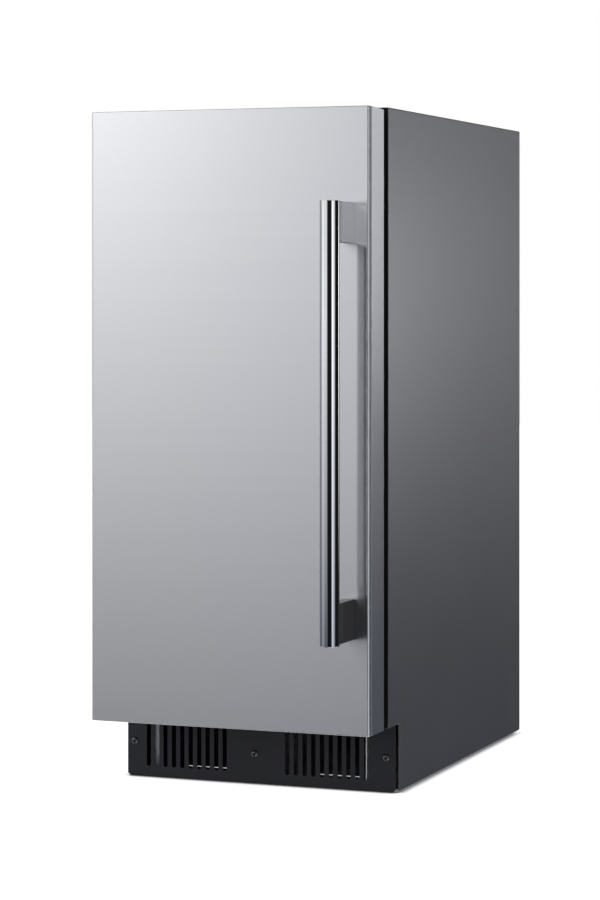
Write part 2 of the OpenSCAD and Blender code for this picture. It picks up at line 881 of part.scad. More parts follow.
// Supply tube from the valve to the trough, and the hose from the pump to the distributor.
module water_tubes() {
    supply = [114, 314];
    color(white) {
        pipe(blended([
            [inlet_x - 2, y_cover - 46, inlet_z], [inlet_x - 2, y_cover - 66, inlet_z],
            [inlet_x - 2, y_cover - 66, 218], [supply[0], supply[1], 218],
            [supply[0], supply[1], 634], [supply[0], y_liner_back - 90, 634],
            [108, trough_y[1] - 6, 600], [108, trough_y[1] - 6, 552]
        ], 9), 3.5);
        pipe(blended([
            [pump_x + volute_r, pump_y - 2, 514], [pump_x + 32, pump_y - 2, 514],
            [pump_x + 32, pump_y - 2, 760], [pump_x + 32, pump_y - 14, 794], [pump_x + 32, evap_y + 4, 794]
        ], 8), 4.5);
    }
}

// ---------- machine compartment ----------

// Welded shell on a foot plate, with its terminal cover.
module compressor() {
    foot_t = 3;
    wall = 12;
    inner = comp_r - wall;
    color(black) difference() {
        union() {
            translate([comp_x, comp_y, comp_foot_z]) rotate_extrude()
                polygon([
                    [inner, 0], [comp_r - 6, 0], [comp_r - 6, 60], [comp_r, 66], [comp_r, 76],
                    [comp_r - 6, 82], [comp_r - 6, 125], [comp_r - 22, 152], [0, comp_top - comp_foot_z],
                    [0, 150], [inner - 14, 140], [inner, 118]
                ]);
            box([comp_x - 85, comp_x + 85], [comp_y - 72, comp_y + 72], [comp_foot_z - foot_t, comp_foot_z]);
            box([comp_x + comp_r - 10, comp_x + comp_r + 14], [comp_y - 26, comp_y + 26], [70, 130]);
        }
        for (x = [-75, 75], y = [-62, 62])
            rod_z(comp_x + x, comp_y + y, [comp_foot_z - foot_t - 1, comp_foot_z + 1], 6 + run_fit);
    }
}

module compressor_mounts() {
    color(black) for (x = [-75, 75], y = [-62, 62]) {
        rod_z(comp_x + x, comp_y + y, [foot_h + pan_t, comp_foot_z - 3], 11);
        rod_z(comp_x + x, comp_y + y, [comp_foot_z - 3, comp_foot_z], 6);
        rod_z(comp_x + x, comp_y + y, [comp_foot_z, comp_foot_z + 4], 9);
    }
}

// Fins and tubes between two galvanised end plates.
module condenser() {
    fin_t = 0.6;
    fin_step = 6.25;
    low = foot_h + pan_t;
    color(galvanised) {
        for (x = [cond_x[0], cond_x[1] - 1.5]) box([x, x + 1.5], cond_y, [low, cond_z]);
        for (i = [1:23])
            box([cond_x[0] + i * fin_step, cond_x[0] + i * fin_step + fin_t],
                [cond_y[0] + 2, cond_y[1] - 2], [low + 6, cond_z - 4]);
        for (row = [0:6]) rod_x([cond_x[0] - 4, cond_x[1] + 4], cond_y[0] + 22, low + 20 + row * 26, 4.5);
    }
}

// Sheet with a round collar that the fan draws through.
module fan_shroud() {
    t = 1.2;
    color(galvanised) difference() {
        union() {
            box(cond_x, [cond_y[1], cond_y[1] + t], [foot_h + pan_t, cond_z]);
            rod_y(fan_x, [cond_y[1], cond_y[1] + 22], fan_z, fan_r + 6);
        }
        rod_y(fan_x, [cond_y[1] - 1, cond_y[1] + 23], fan_z, fan_r + 4);
    }
}

// Five pitched blades on a hub, with the motor's shaft.
module fan_blade() {
    color(black) {
        rod_y(fan_x, [y_fan - 9, y_fan + 9], fan_z, 17);
        rod_y(fan_x, [y_fan + 9, y_fan + 30], fan_z, 3);
        intersection() {
            rod_y(fan_x, [y_fan - 12, y_fan + 12], fan_z, fan_r);
            for (a = [0:72:288])
                translate([fan_x, y_fan, fan_z]) rotate([0, a, 0]) translate([10, 0, 0])
                    rotate([28, 0, 0]) translate([0, -1, -19]) cube([70, 2, 38]);
        }
    }
}

// Motor behind the fan, on a bracket that is fixed to the base pan.
module fan_motor() {
    y = y_fan + 16;
    color(grey) difference() {
        union() {
            rod_y(fan_x, [y, y + 42], fan_z, 30);
            box([fan_x - 14, fan_x + 14], [y + 12, y + 30], [foot_h + pan_t, fan_z - 20]);
        }
        rod_y(fan_x, [y - 1, y + 16], fan_z, 3 + run_fit);
    }
}

// Upright sheet that keeps the warm air apart from the cool air.
module air_baffle() {
    color(galvanised) box([baffle_x, baffle_x + 1], [y_pan + 6, 60], [foot_h + pan_t, z_deck]);
}

module electronics_box() {
    color(grey) {
        box([70, 170], [-110, 30], [118, z_deck - 2]);
        box([60, 180], [-100, -80], [z_deck - 2, z_deck]);
        box([60, 180], [0, 20], [z_deck - 2, z_deck]);
    }
}

module hot_gas_valve() {
    color(zinc) {
        rod_z(45, 120, [176, 214], 14);
        box([36, 54], [111, 129], [158, 176]);
    }
}

// Suction, discharge, liquid and hot gas lines, with the filter drier in the liquid line.
module refrigerant_pipes() {
    suction = [88, 314];
    liquid = [101, 314];
    drier = [100, 230];
    coil_y = evap_y + 3 + coil_r;
    coil_low = evap_z[0] + 20;
    coil_high = coil_low + (coil_runs - 1) * coil_step;
    side = -coil_x - 9;
    stub = -105;
    cond_mid = cond_y[0] + 8;
    color(copper) {
        pipe(blended([
            [-coil_x, coil_y, coil_low], [side, coil_y, coil_low], [side, y_liner_back - 34, coil_low],
            [suction[0], y_liner_back - 34, 641], [suction[0], suction[1], 641],
            [suction[0], suction[1], 216], [-10, 190, 216], [-40, comp_y, 216],
            [-40, comp_y, comp_top - 7]
        ], 4), 4.5);
        pipe(blended([
            [stub, comp_y, comp_top - 9], [stub, comp_y, 216], [stub, cond_mid, 216],
            [stub, cond_mid, cond_z - 3.5]
        ], 8), 3.5);
        pipe(blended([
            [cond_x[1], cond_mid, 34], [baffle_x - 6, cond_mid, 34],
            [baffle_x - 6, 70, 34], [42, 90, 34], [42, 192, 34], [drier[0], drier[1], 34],
            [drier[0], drier[1], 60]
        ], 6), 3);
        rod_z(drier[0], drier[1], [60, 160], 10);
        pipe(blended([
            [drier[0], drier[1], 160], [drier[0], drier[1], 200], [liquid[0], liquid[1], 216],
            [liquid[0], liquid[1], 650], [liquid[0], y_liner_back - 21, 650],
            [liquid[0], y_liner_back - 21, 700], [side, y_liner_back - 21, coil_high],
            [side, coil_y, coil_high], [-coil_x, coil_y, coil_high]
        ], 4), 3);
    }
}

// Cord gland in the rear cover; no cord is fitted.
module power_inlet() {
    color(black) difference() {
        union() {
            rod_y(gland_x, [y_cover - 10, y_cover + 14], gland_z, 8);
            rod_y(gland_x, [y_cover + shell_t, y_cover + shell_t + 5], gland_z, 12);
            rod_y(gland_x, [y_cover - 10, y_cover - 4], gland_z, 12);
        }
        rod_y(gland_x, [y_cover - 11, y_cover + 15], gland_z, gland_bore_r);
    }
}

// ---------- levelling legs ----------

// A round pad on a threaded stem, stated as a plain cylinder.
module leg(x, y) {
    pad_h = foot_h - clear;
    color(black) {
        translate([x, y, 0]) rotate_extrude()
            polygon([[0, 0], [pad_r - 1, 0], [pad_r, 1], [pad_r, pad_h - 1], [pad_r - 1, pad_h], [0, pad_h]]);
        rod_z(x, y, [pad_h, foot_h + leg_stem], leg_r);
    }
}

module leg_front_left() {
    leg(-leg_x, leg_front_y);
}

module leg_front_right() {
    leg(leg_x, leg_front_y);
}

module leg_rear_left() {
    leg(-leg_x, leg_rear_y);
}

module leg_rear_right() {
    leg(leg_x, leg_rear_y);
}

side_panel_left();
side_panel_right();
top_panel();
back_panel();
rear_cover();
base_pan();
front_frame();
machine_deck();
cabinet_foam();
liner();
kick_plate();
case_screws();
top_hinge();
bottom_hinge();
control_panel();
display_window();
light_lens();
evaporator_plate();
evaporator_coil();
evaporator_frame();
water_distributor();
water_trough();
pump_motor();
scoop_holder();
ice_level_sensor();
drain_fittings();
drain_hose();
compressor();
compressor_mounts();
condenser();
fan_shroud();
fan_motor();
air_baffle();
hot_gas_valve();
refrigerant_pipes();
water_valve();
water_tubes();
power_inlet();
electronics_box();
door_front_panel();
door_side_trims();
door_end_caps();
door_foam();
door_liner();
door_gasket();
hinge_bushes();
handle_bar();
handle_posts();
handle_screws();
water_curtain();
ice_scoop();
ice_retainer();
power_button();
clean_button();
fan_blade();
pump_impeller();
leg_front_left();
leg_front_right();
leg_rear_left();
leg_rear_right();
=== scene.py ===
"""Looks of the undercounter ice maker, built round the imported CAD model."""

import json
import math

import bmesh
import bpy
from mathutils import Matrix, Vector


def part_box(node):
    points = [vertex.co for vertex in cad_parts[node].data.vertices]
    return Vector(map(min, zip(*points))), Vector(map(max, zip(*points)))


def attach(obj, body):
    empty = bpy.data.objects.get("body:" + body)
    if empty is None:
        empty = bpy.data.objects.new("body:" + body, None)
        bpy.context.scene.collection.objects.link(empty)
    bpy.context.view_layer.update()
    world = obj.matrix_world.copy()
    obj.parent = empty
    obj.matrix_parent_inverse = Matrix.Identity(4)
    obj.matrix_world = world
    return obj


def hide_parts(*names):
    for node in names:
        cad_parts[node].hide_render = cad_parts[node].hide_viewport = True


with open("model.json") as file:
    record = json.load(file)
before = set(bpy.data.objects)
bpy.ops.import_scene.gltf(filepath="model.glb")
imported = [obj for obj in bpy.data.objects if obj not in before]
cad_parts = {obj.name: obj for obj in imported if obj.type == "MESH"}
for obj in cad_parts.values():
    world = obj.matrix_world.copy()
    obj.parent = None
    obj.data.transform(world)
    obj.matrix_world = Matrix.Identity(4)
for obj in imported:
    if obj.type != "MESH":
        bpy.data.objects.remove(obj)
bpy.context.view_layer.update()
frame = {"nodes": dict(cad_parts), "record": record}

MM = 0.001
# Thicknesses of the sheets, and of the liner's wall and rim.
SHEET = 1.0 * MM
KICK_SHEET = 1.2 * MM
PAN_SHEET = 1.5 * MM
LINER_WALL = 2 * MM
LINER_RIM = 18 * MM
# Points nearer than this count as level with each other.
LEVEL_WITHIN = 0.1 * MM
# Places of the toe kick's screws, in mm across and up, and the nodes of the legs.
KICK_SCREWS = [(-178.5, 46.5), (-8.5, 39), (172.5, 44.5)]
LEGS = ("leg_front_left", "leg_front_right", "leg_rear_left", "leg_rear_right")
scene = bpy.context.scene
record = frame["record"]
slot_of = {part["node"]: part["material_slot"] for part in record["subparts"]}
body_of = {node: body for body, nodes in record["behaviour"]["bodies"].items() for node in nodes}


# ---------- camera, light and floor ----------

def add_camera():
    """The camera at the photograph's angle, held level, with the shift that the framing needs."""
    data = bpy.data.cameras.new("camera")
    data.lens = 109.32
    data.shift_x = -0.0665
    data.shift_y = -0.1778
    data.clip_end = 100
    camera = placed("camera", data)
    camera.location = (1.35007, -3.43044, 0.63798)
    camera.rotation_euler = (math.radians(90), 0, math.radians(20.405))
    scene.camera = camera


# Brightness of the studio round the machine, by the angle from the front towards the handle side.
HIGH = [(-180, 0.9), (-140, 0.8), (-100, 1.1), (-60, 1.0), (-38, 1.0), (-32, 4.0), (-26, 2.75),
        (-23, 1.45), (-20, 0.7), (-12, 0.8), (0, 0.06), (50, 0.06), (60, 0.5), (100, 0.4), (150, 0.15),
        (157, 0.2), (159, 1.15), (161, 1.15), (163, 0.08), (170, 0.1), (180, 0.9)]
LEVEL = [(-180, 0.6), (-160, 0.22), (-130, 0.15), (-113, 0.2), (-98, 0.4), (-86, 0.8), (-66, 1.4),
         (-52, 1.25), (-37, 1.0), (-28, 1.02), (-26, 1.13), (-23, 1.3), (-20, 1.38), (-9, 0.35),
         (1, 0.01), (37, 0.01), (42, 0.3), (47, 1.1), (56, 2.0), (66, 1.2), (78, 1.0), (85, 0.4),
         (90, 0.01), (138, 0.01), (150, 0.15), (157, 0.2), (159, 0.12), (161, 0.12), (163, 0.07),
         (172, 0.25), (180, 0.6)]
LOW = [(-180, 0.4), (-160, 0.1), (-113, 0.05), (-88, 0.12), (-68, 0.3), (-52, 0.3), (-37, 0.12),
       (-27, 0.01), (-22, 0.09), (-9, 0.14), (2, 0.01), (37, 0.01), (43, 0.15), (48, 0.5), (56, 1.0),
       (66, 0.55), (80, 0.3), (90, 0.01), (150, 0.02), (160, 0.12), (170, 0.02), (180, 0.4)]
CEILING = [(-180, 0.2), (180, 0.2)]
GROUND = [(-180, 0.7), (-62, 0.7), (-48, 0.1), (-8, 0.1), (4, 0.7), (138, 0.7), (148, 0.1), (172, 0.1),
          (180, 0.7)]
TINTS = {"high": (1.01, 1.0, 0.985), "level": (0.965, 0.985, 1.035), "low": (0.9, 0.97, 1.15),
         "glow": (0.97, 0.985, 1.03)}
# Heights in degrees over which one part of the studio gives way to the next one up.
GROUND_TO_LOW = (-34, -17)
LOW_TO_LEVEL = (-8, -0.5)
LEVEL_TO_HIGH = (4, 9)
HIGH_TO_CEILING = (22, 45)
# Soft glows: brightness by angle, and the heights in degrees where each rises and falls.
GLOWS = [
    ([(-180, 0), (150.5, 0), (152.5, 11.0), (155.5, 11.0), (157, 0), (180, 0)], (-6, 0, 0.5, 4.0)),
    ([(-180, 0), (157, 0), (159, 0.72), (161, 0.72), (163, 0), (180, 0)], (-3, 4, 7, 11)),
    ([(-180, 0), (13, 0), (16, 2.8), (25, 2.8), (28, 0), (180, 0)], (2.5, 4.5, 9, 13)),
    ([(-180, 0.6), (-62, 0.6), (-48, 0), (-8, 0), (4, 0.6), (138, 0.6), (148, 0), (172, 0), (180, 0.6)],
     (-90, -60, -14, -9.5)),
]
PEAK = 11.0


def add_world():
    """White for the camera, even light for matt surfaces, the studio's bright and dark parts for gloss."""
    world = bpy.data.worlds.new("studio")
    scene.world = world
    world.use_nodes = True
    nodes = world.node_tree.nodes
    links = world.node_tree.links
    nodes.clear()

    def math_node(operation, first, second=0.0):
        node = nodes.new("ShaderNodeMath")
        node.operation = operation
        for socket, value in zip(node.inputs, (first, second)):
            if isinstance(value, (int, float)):
                socket.default_value = value
            else:
                links.new(value, socket)
        return node.outputs[0]

    def profile(angle, stops, tint):
        ramp = nodes.new("ShaderNodeValToRGB")
        elements = ramp.color_ramp.elements
        for degrees, value in stops[1:-1]:
            elements.new((degrees + 180) / 360)
        for index, (degrees, value) in enumerate(stops):
            elements[index].color = (*(value / PEAK * channel for channel in tint), 1)
        links.new(angle, ramp.inputs[0])
        return ramp.outputs["Color"]

    def blend(factor, first, second, kind="MIX"):
        mix = nodes.new("ShaderNodeMix")
        mix.data_type = "RGBA"
        mix.blend_type = kind
        links.new(factor, mix.inputs["Factor"])
        links.new(first, mix.inputs["A"])
        links.new(second, mix.inputs["B"])
        return mix.outputs["Result"]

    def rise(height, low, high):
        step = nodes.new("ShaderNodeMapRange")
        step.inputs["From Min"].default_value = math.sin(math.radians(low))
        step.inputs["From Max"].default_value = math.sin(math.radians(high))
        links.new(height, step.inputs["Value"])
        return step.outputs["Result"]

    split = nodes.new("ShaderNodeSeparateXYZ")
    links.new(nodes.new("ShaderNodeTexCoord").outputs["Generated"], split.inputs[0])
    x, y, z = split.outputs
    turn = math_node("ARCTAN2", x, math_node("MULTIPLY", y, -1))
    angle = math_node("ADD", math_node("DIVIDE", turn, 2 * math.pi), 0.5)
    low_part = profile(angle, LOW, TINTS["low"])
    shade = blend(rise(z, *LOW_TO_LEVEL), low_part, profile(angle, LEVEL, TINTS["level"]))
    shade = blend(rise(z, *LEVEL_TO_HIGH), shade, profile(angle, HIGH, TINTS["high"]))
    shade = blend(rise(z, *HIGH_TO_CEILING), shade, profile(angle, CEILING, TINTS["high"]))
    shade = blend(rise(z, *GROUND_TO_LOW), profile(angle, GROUND, TINTS["high"]), shade)
    for stops, (low, full, fade, high) in GLOWS:
        band = math_node("MULTIPLY", rise(z, low, full), math_node("SUBTRACT", 1.0, rise(z, fade, high)))
        shade = blend(band, shade, profile(angle, stops, TINTS["glow"]), "ADD")

    studio = nodes.new("ShaderNodeBackground")
    studio.inputs["Strength"].default_value = PEAK
    links.new(shade, studio.inputs["Color"])
    even = nodes.new("ShaderNodeBackground")
    even.inputs["Color"].default_value = (0.97, 0.98, 1.0, 1)
    even.inputs["Strength"].default_value = 0.85
    white = nodes.new("ShaderNodeBackground")
    white.inputs["Color"].default_value = (1, 1, 1, 1)
    path = nodes.new("ShaderNodeLightPath")
    matt = nodes.new("ShaderNodeMixShader")
    links.new(path.outputs["Is Diffuse Ray"], matt.inputs[0])
    links.new(studio.outputs[0], matt.inputs[1])
    links.new(even.outputs[0], matt.inputs[2])
    seen = nodes.new("ShaderNodeMixShader")
    links.new(path.outputs["Is Camera Ray"], seen.inputs[0])
    links.new(matt.outputs[0], seen.inputs[1])
    links.new(white.outputs[0], seen.inputs[2])
    output = nodes.new("ShaderNodeOutputWorld")
    links.new(seen.outputs[0], output.inputs["Surface"])


def add_area(name, location, target, size, power):
    """A large soft light that shapes matt surfaces and isn't seen in reflections."""
    data = bpy.data.lights.new(name, "AREA")
    data.shape = "RECTANGLE"
    data.size, data.size_y = size
    data.energy = power
    light = placed(name, data)
    light.location = location
    light.rotation_euler = (Vector(target) - Vector(location)).to_track_quat("-Z", "Y").to_euler()
    light.visible_glossy = False


def add_floor():
    """A plain pale floor, bright enough to run into the white behind it. Its glow dims close to the machine
    as a painted contact shadow.
    """
    half = 9.0
    corners = rectangle(-half, half, -half, half)
    floor = Shape().face([(x, y, 0) for x, y in corners]).make("floor")
    finish = Finish("pale_floor", (0.5, 0.5, 0.5), 0.0, 0.9)
    finish.emit((1, 1, 1), 0.9)
    # Painted contact shadow: the floor's glow is turned down where other surfaces are close.
    near = finish.nodes.new("ShaderNodeAmbientOcclusion")
    near.inputs["Distance"].default_value = 0.014
    bright = finish.ranged(near.outputs["AO"], 0.0, 0.9, 0.5, 0.95)
    finish.links.new(bright, finish.shader.inputs["Emission Strength"])
    speck = finish.noise((40, 40, 40), 1, 2)
    finish.colour(speck, (0.49, 0.49, 0.495), (0.51, 0.51, 0.515))
    floor.data.materials.append(finish.material)
    floor.visible_glossy = False


# ---------- procedural finishes ----------

class Finish:
    """One procedural material: a Principled shader and short ways to drive its sockets."""

    def __init__(self, name, colour, metallic, roughness, **sockets):
        self.material = bpy.data.materials.new(name)
        self.material.use_nodes = True
        self.material.diffuse_color = (*colour, 1)
        self.nodes = self.material.node_tree.nodes
        self.links = self.material.node_tree.links
        self.shader = self.nodes["Principled BSDF"]
        self.shader.inputs["Base Color"].default_value = (*colour, 1)
        self.shader.inputs["Metallic"].default_value = metallic
        self.shader.inputs["Roughness"].default_value = roughness
        for key, value in sockets.items():
            self.shader.inputs[key.replace("_", " ")].default_value = value
        self.place = self.nodes.new("ShaderNodeTexCoord").outputs["Object"]

    def emit(self, colour, strength):
        self.shader.inputs["Emission Color"].default_value = (*colour, 1)
        self.shader.inputs["Emission Strength"].default_value = strength

    def mapped(self, scale):
        mapping = self.nodes.new("ShaderNodeMapping")
        mapping.inputs["Scale"].default_value = scale
        self.links.new(self.place, mapping.inputs["Vector"])
        return mapping.outputs[0]

    def noise(self, scale, size, detail, rough=0.5):
        node = self.nodes.new("ShaderNodeTexNoise")
        node.inputs["Scale"].default_value = size
        node.inputs["Detail"].default_value = detail
        node.inputs["Roughness"].default_value = rough
        self.links.new(self.mapped(scale), node.inputs["Vector"])
        return node.outputs["Fac"]

    def cells(self, scale, output="Color"):
        node = self.nodes.new("ShaderNodeTexVoronoi")
        node.inputs["Scale"].default_value = scale
        self.links.new(self.place, node.inputs["Vector"])
        return node.outputs[output]

    def ranged(self, value, low, high, near=0.3, far=0.7):
        node = self.nodes.new("ShaderNodeMapRange")
        node.inputs["From Min"].default_value = near
        node.inputs["From Max"].default_value = far
        node.inputs["To Min"].default_value = low
        node.inputs["To Max"].default_value = high
        self.links.new(value, node.inputs["Value"])
        return node.outputs["Result"]

    def colour(self, value, first, second, near=0.3, far=0.7):
        mix = self.nodes.new("ShaderNodeMix")
        mix.data_type = "RGBA"
        mix.inputs["A"].default_value = (*first, 1)
        mix.inputs["B"].default_value = (*second, 1)
        self.links.new(self.ranged(value, 0, 1, near, far), mix.inputs["Factor"])
        self.links.new(mix.outputs["Result"], self.shader.inputs["Base Color"])

    def roughness(self, value, low, high, near=0.3, far=0.7):
        self.links.new(self.ranged(value, low, high, near, far), self.shader.inputs["Roughness"])

    def bump(self, height, distance, strength=1.0):
        node = self.nodes.new("ShaderNodeBump")
        node.inputs["Distance"].default_value = distance
        node.inputs["Strength"].default_value = strength
        self.links.new(height, node.inputs["Height"])
        previous = self.shader.inputs["Normal"].links
        if previous:
            self.links.new(previous[0].from_socket, node.inputs["Normal"])
        self.links.new(node.outputs[0], self.shader.inputs["Normal"])


def shaded(colour, amount):
    """A colour made a little lighter or darker."""
    return tuple(channel * amount for channel in colour)


def brushed(name, colour, roughness, anisotropic=0.8, grain=(1.5, 1.5, 1), lines=900, scratch=0.000001):
    """Steel with fine and wider scratches. They run along the axes whose grain is more than 1."""
    finish = Finish(name, colour, 1.0, roughness, Anisotropic=anisotropic, Anisotropic_Rotation=0.25)

    def across(count):
        return tuple(part if part > 1 else part * count for part in grain)

    fine = finish.noise(across(lines), 1, 3, 0.6)
    streak = finish.noise(across(lines / 7), 1, 2)
    finish.colour(streak, shaded(colour, 0.993), shaded(colour, 1.007))
    finish.roughness(fine, roughness * 0.98, roughness * 1.02)
    if scratch:
        finish.bump(fine, scratch)
    return finish.material


def polished(name, colour, roughness):
    """Bright turned steel with a trace of the tool's rings."""
    finish = Finish(name, colour, 1.0, roughness, Specular_Tint=(0.3, 0.3, 0.3, 1))
    rings = finish.noise((30, 30, 1400), 1, 2)
    finish.colour(rings, shaded(colour, 0.97), shaded(colour, 1.02))
    finish.roughness(rings, roughness * 0.7, roughness * 1.4)
    return finish.material


def painted(name, colour, roughness, peel, depth, **sockets):
    """Paint on sheet steel, with a fine orange peel and slight variation in gloss."""
    finish = Finish(name, colour, 0.0, roughness, **sockets)
    skin = finish.noise((1, 1, 1), peel, 3)
    cloud = finish.noise((1, 1, 1), 9, 2)
    finish.colour(cloud, shaded(colour, 0.94), shaded(colour, 1.06))
    finish.roughness(skin, roughness * 0.92, roughness * 1.08)
    finish.bump(skin, depth)
    return finish.material


def moulded(name, colour, roughness, grain, depth, **sockets):
    """Moulded plastic or rubber with a fine texture from the tool."""
    finish = Finish(name, colour, 0.0, roughness, **sockets)
    skin = finish.noise((1, 1, 1), grain, 2)
    cloud = finish.noise((1, 1, 1), 14, 2)
    finish.colour(cloud, shaded(colour, 0.96), shaded(colour, 1.04))
    finish.roughness(skin, roughness * 0.9, roughness * 1.1)
    finish.bump(skin, depth)
    return finish.material


def galvanised(name, colour):
    """Zinc coated sheet with its crystal spangle."""
    finish = Finish(name, colour, 0.85, 0.42)
    spangle = finish.cells(90)
    frost = finish.noise((1, 1, 1), 500, 3)
    finish.colour(spangle, shaded(colour, 0.8), shaded(colour, 1.12), 0.1, 0.9)
    finish.roughness(spangle, 0.32, 0.55, 0.1, 0.9)
    finish.bump(frost, 0.00001)
    return finish.material


def copper_tube(name, colour):
    """Drawn copper, dulled in patches where it was handled and brazed."""
    finish = Finish(name, colour, 1.0, 0.3)
    patch = finish.noise((1, 1, 1), 35, 5)
    finish.colour(patch, shaded(colour, 0.55), shaded(colour, 1.05))
    finish.roughness(patch, 0.48, 0.24)
    finish.bump(finish.noise((1, 1, 1), 900, 2), 0.00001)
    return finish.material


def foam(name, colour):
    """Rigid foam with small open cells."""
    finish = Finish(name, colour, 0.0, 0.9)
    cell = finish.cells(700, "Distance")
    finish.colour(cell, shaded(colour, 0.7), shaded(colour, 1.1), 0.0, 0.6)
    finish.bump(cell, 0.0004)
    return finish.material


def clear_sheet(name, colour):
    """Clear plastic sheet, faintly hazed."""
    finish = Finish(name, colour, 0.0, 0.06, Transmission_Weight=0.92, IOR=1.46)
    haze = finish.noise((1, 1, 1), 60, 4)
    finish.roughness(haze, 0.05, 0.14)
    finish.colour(haze, shaded(colour, 0.96), colour)
    return finish.material


def lit_lens(name, colour):
    """Frosted cover over the light, prismatic inside."""
    finish = Finish(name, colour, 0.0, 0.35)
    finish.emit((0.92, 0.96, 1.0), 0.25)
    finish.colour(finish.noise((1, 1, 1), 220, 2), shaded(colour, 0.94), colour)
    finish.bump(finish.cells(500, "Distance"), 0.0001)
    return finish.material


# Name, colour and roughness. The painted and moulded ones add how fine and how deep the texture is.
finishes = {
    "case_paint": painted("case_paint", (0.036, 0.036, 0.041), 0.19, 900, 0.000003, Specular_IOR_Level=0.8),
    "galvanised_steel": galvanised("galvanised_steel", (0.56, 0.57, 0.58)),
    "black_plastic": moulded("black_plastic", (0.008, 0.008, 0.009), 0.5, 1500, 0.00001),
    "foam": foam("foam", (0.74, 0.64, 0.40)),
    "white_plastic": moulded("white_plastic", (0.74, 0.76, 0.77), 0.3, 1100, 0.000008),
    "black_paint": painted(
        "black_paint", (0.0063, 0.0068, 0.0105), 0.45, 1300, 0.00001, Specular_IOR_Level=0.4),
    "dark_window": moulded("dark_window", (0.008, 0.009, 0.011), 0.08, 400, 0.000001),
    "light_diffuser": lit_lens("light_diffuser", (0.85, 0.88, 0.9)),
    "stainless_plate": brushed("stainless_plate", (0.60, 0.605, 0.61), 0.28, 0.4, lines=700),
    "copper": copper_tube("copper", (0.78, 0.42, 0.26)),
    "grey_plastic": moulded("grey_plastic", (0.26, 0.27, 0.285), 0.42, 1200, 0.00002),
    "black_rubber": moulded(
        "black_rubber", (0.003, 0.003, 0.0033), 0.7, 900, 0.00002, Specular_IOR_Level=0.06),
    "brushed_stainless": brushed("brushed_stainless", (0.60, 0.605, 0.62), 0.17, 1.0, scratch=0),
    "polished_stainless": polished("polished_stainless", (0.64, 0.64, 0.65), 0.03),
    "zinc_plate": brushed("zinc_plate", (0.58, 0.59, 0.61), 0.32, 0.0, (1, 1, 1), 500),
    "clear_plastic": clear_sheet("clear_plastic", (0.86, 0.92, 0.95)),
    "leg_black": painted("leg_black", (0.016, 0.016, 0.016), 0.4, 1200, 0.00002),
}
post_finish = brushed("post_stainless", (0.60, 0.60, 0.61), 0.05, 0.0, lines=1300, scratch=0)
# The lower post is the same stainless as the upper one, painted near black and dull as painted shade for the
# dark reflection it shows.
low_post_shade_finish = painted(
    "low_post_painted_shade", (0.006, 0.006, 0.0065), 0.2, 900, 0.000001, Specular_IOR_Level=0.12)
# The posts' flat end faces are the same stainless, painted near black as painted shade for the dark lines
# along them.
end_shade_finish = brushed("post_end_painted_shade", (0.02, 0.02, 0.021), 0.3, 0.0, lines=1300, scratch=0)
trim_finish = brushed("trim_stainless", (0.60, 0.605, 0.62), 0.12, 0.3, lines=1100, scratch=0)
screw_finish = painted("screw_black", (0.006, 0.006, 0.007), 0.2, 500, 0.000002, Specular_IOR_Level=1.0)
# The front frame is black plastic, made darker and duller than the other black plastic as painted shade for
# the shaded gap round the door.
frame_shade_finish = moulded("frame_black_painted_shade", (0.005, 0.005, 0.0054), 0.7, 900, 0.00001, Specular_IOR_Level=0.08)
# The coil brackets are zinc plate, pale grey like zinc but made matt instead of metal as painted light, so
# they read lit in the shade behind the slots.
lit_bracket_finish = painted("bracket_zinc_painted_light", (0.62, 0.64, 0.68), 0.35, 300, 0.000004)
# Near white and glowing though no lamp: a painted highlight for the rails' lit top edges.
glowing_highlight_finish = painted("painted_highlight_edge", (0.8, 0.81, 0.84), 0.3, 300, 0.000002, Emission_Strength=0.22)


# ---------- shapes ----------

def placed(name, data):
    """A new object in the scene."""
    piece = bpy.data.objects.new(name, data)
    scene.collection.objects.link(piece)
    return piece


def rounded(points, radius, steps=5):
    """A closed outline with its corners rounded. The radius is one number, or one for each corner."""
    radii = radius if isinstance(radius, (list, tuple)) else [radius] * len(points)
    outline = []
    for index, (corner, r) in enumerate(zip(points, radii)):
        corner = Vector(corner)
        if r == 0:
            outline.append(tuple(corner))
            continue
        back = (Vector(points[index - 1]) - corner).normalized()
        ahead = (Vector(points[(index + 1) % len(points)]) - corner).normalized()
        half = back.angle(ahead) / 2
        centre = corner + (back + ahead).normalized() * r / math.sin(half)
        first = corner + back * r / math.tan(half) - centre
        last = corner + ahead * r / math.tan(half) - centre
        sweep = first.angle_signed(last)
        for step in range(steps + 1):
            turn = Matrix.Rotation(-sweep * step / steps, 2)
            outline.append(tuple(centre + turn @ first))
    return outline


def rectangle(low_a, high_a, low_b, high_b):
    return [(low_a, low_b), (high_a, low_b), (high_a, high_b), (low_a, high_b)]


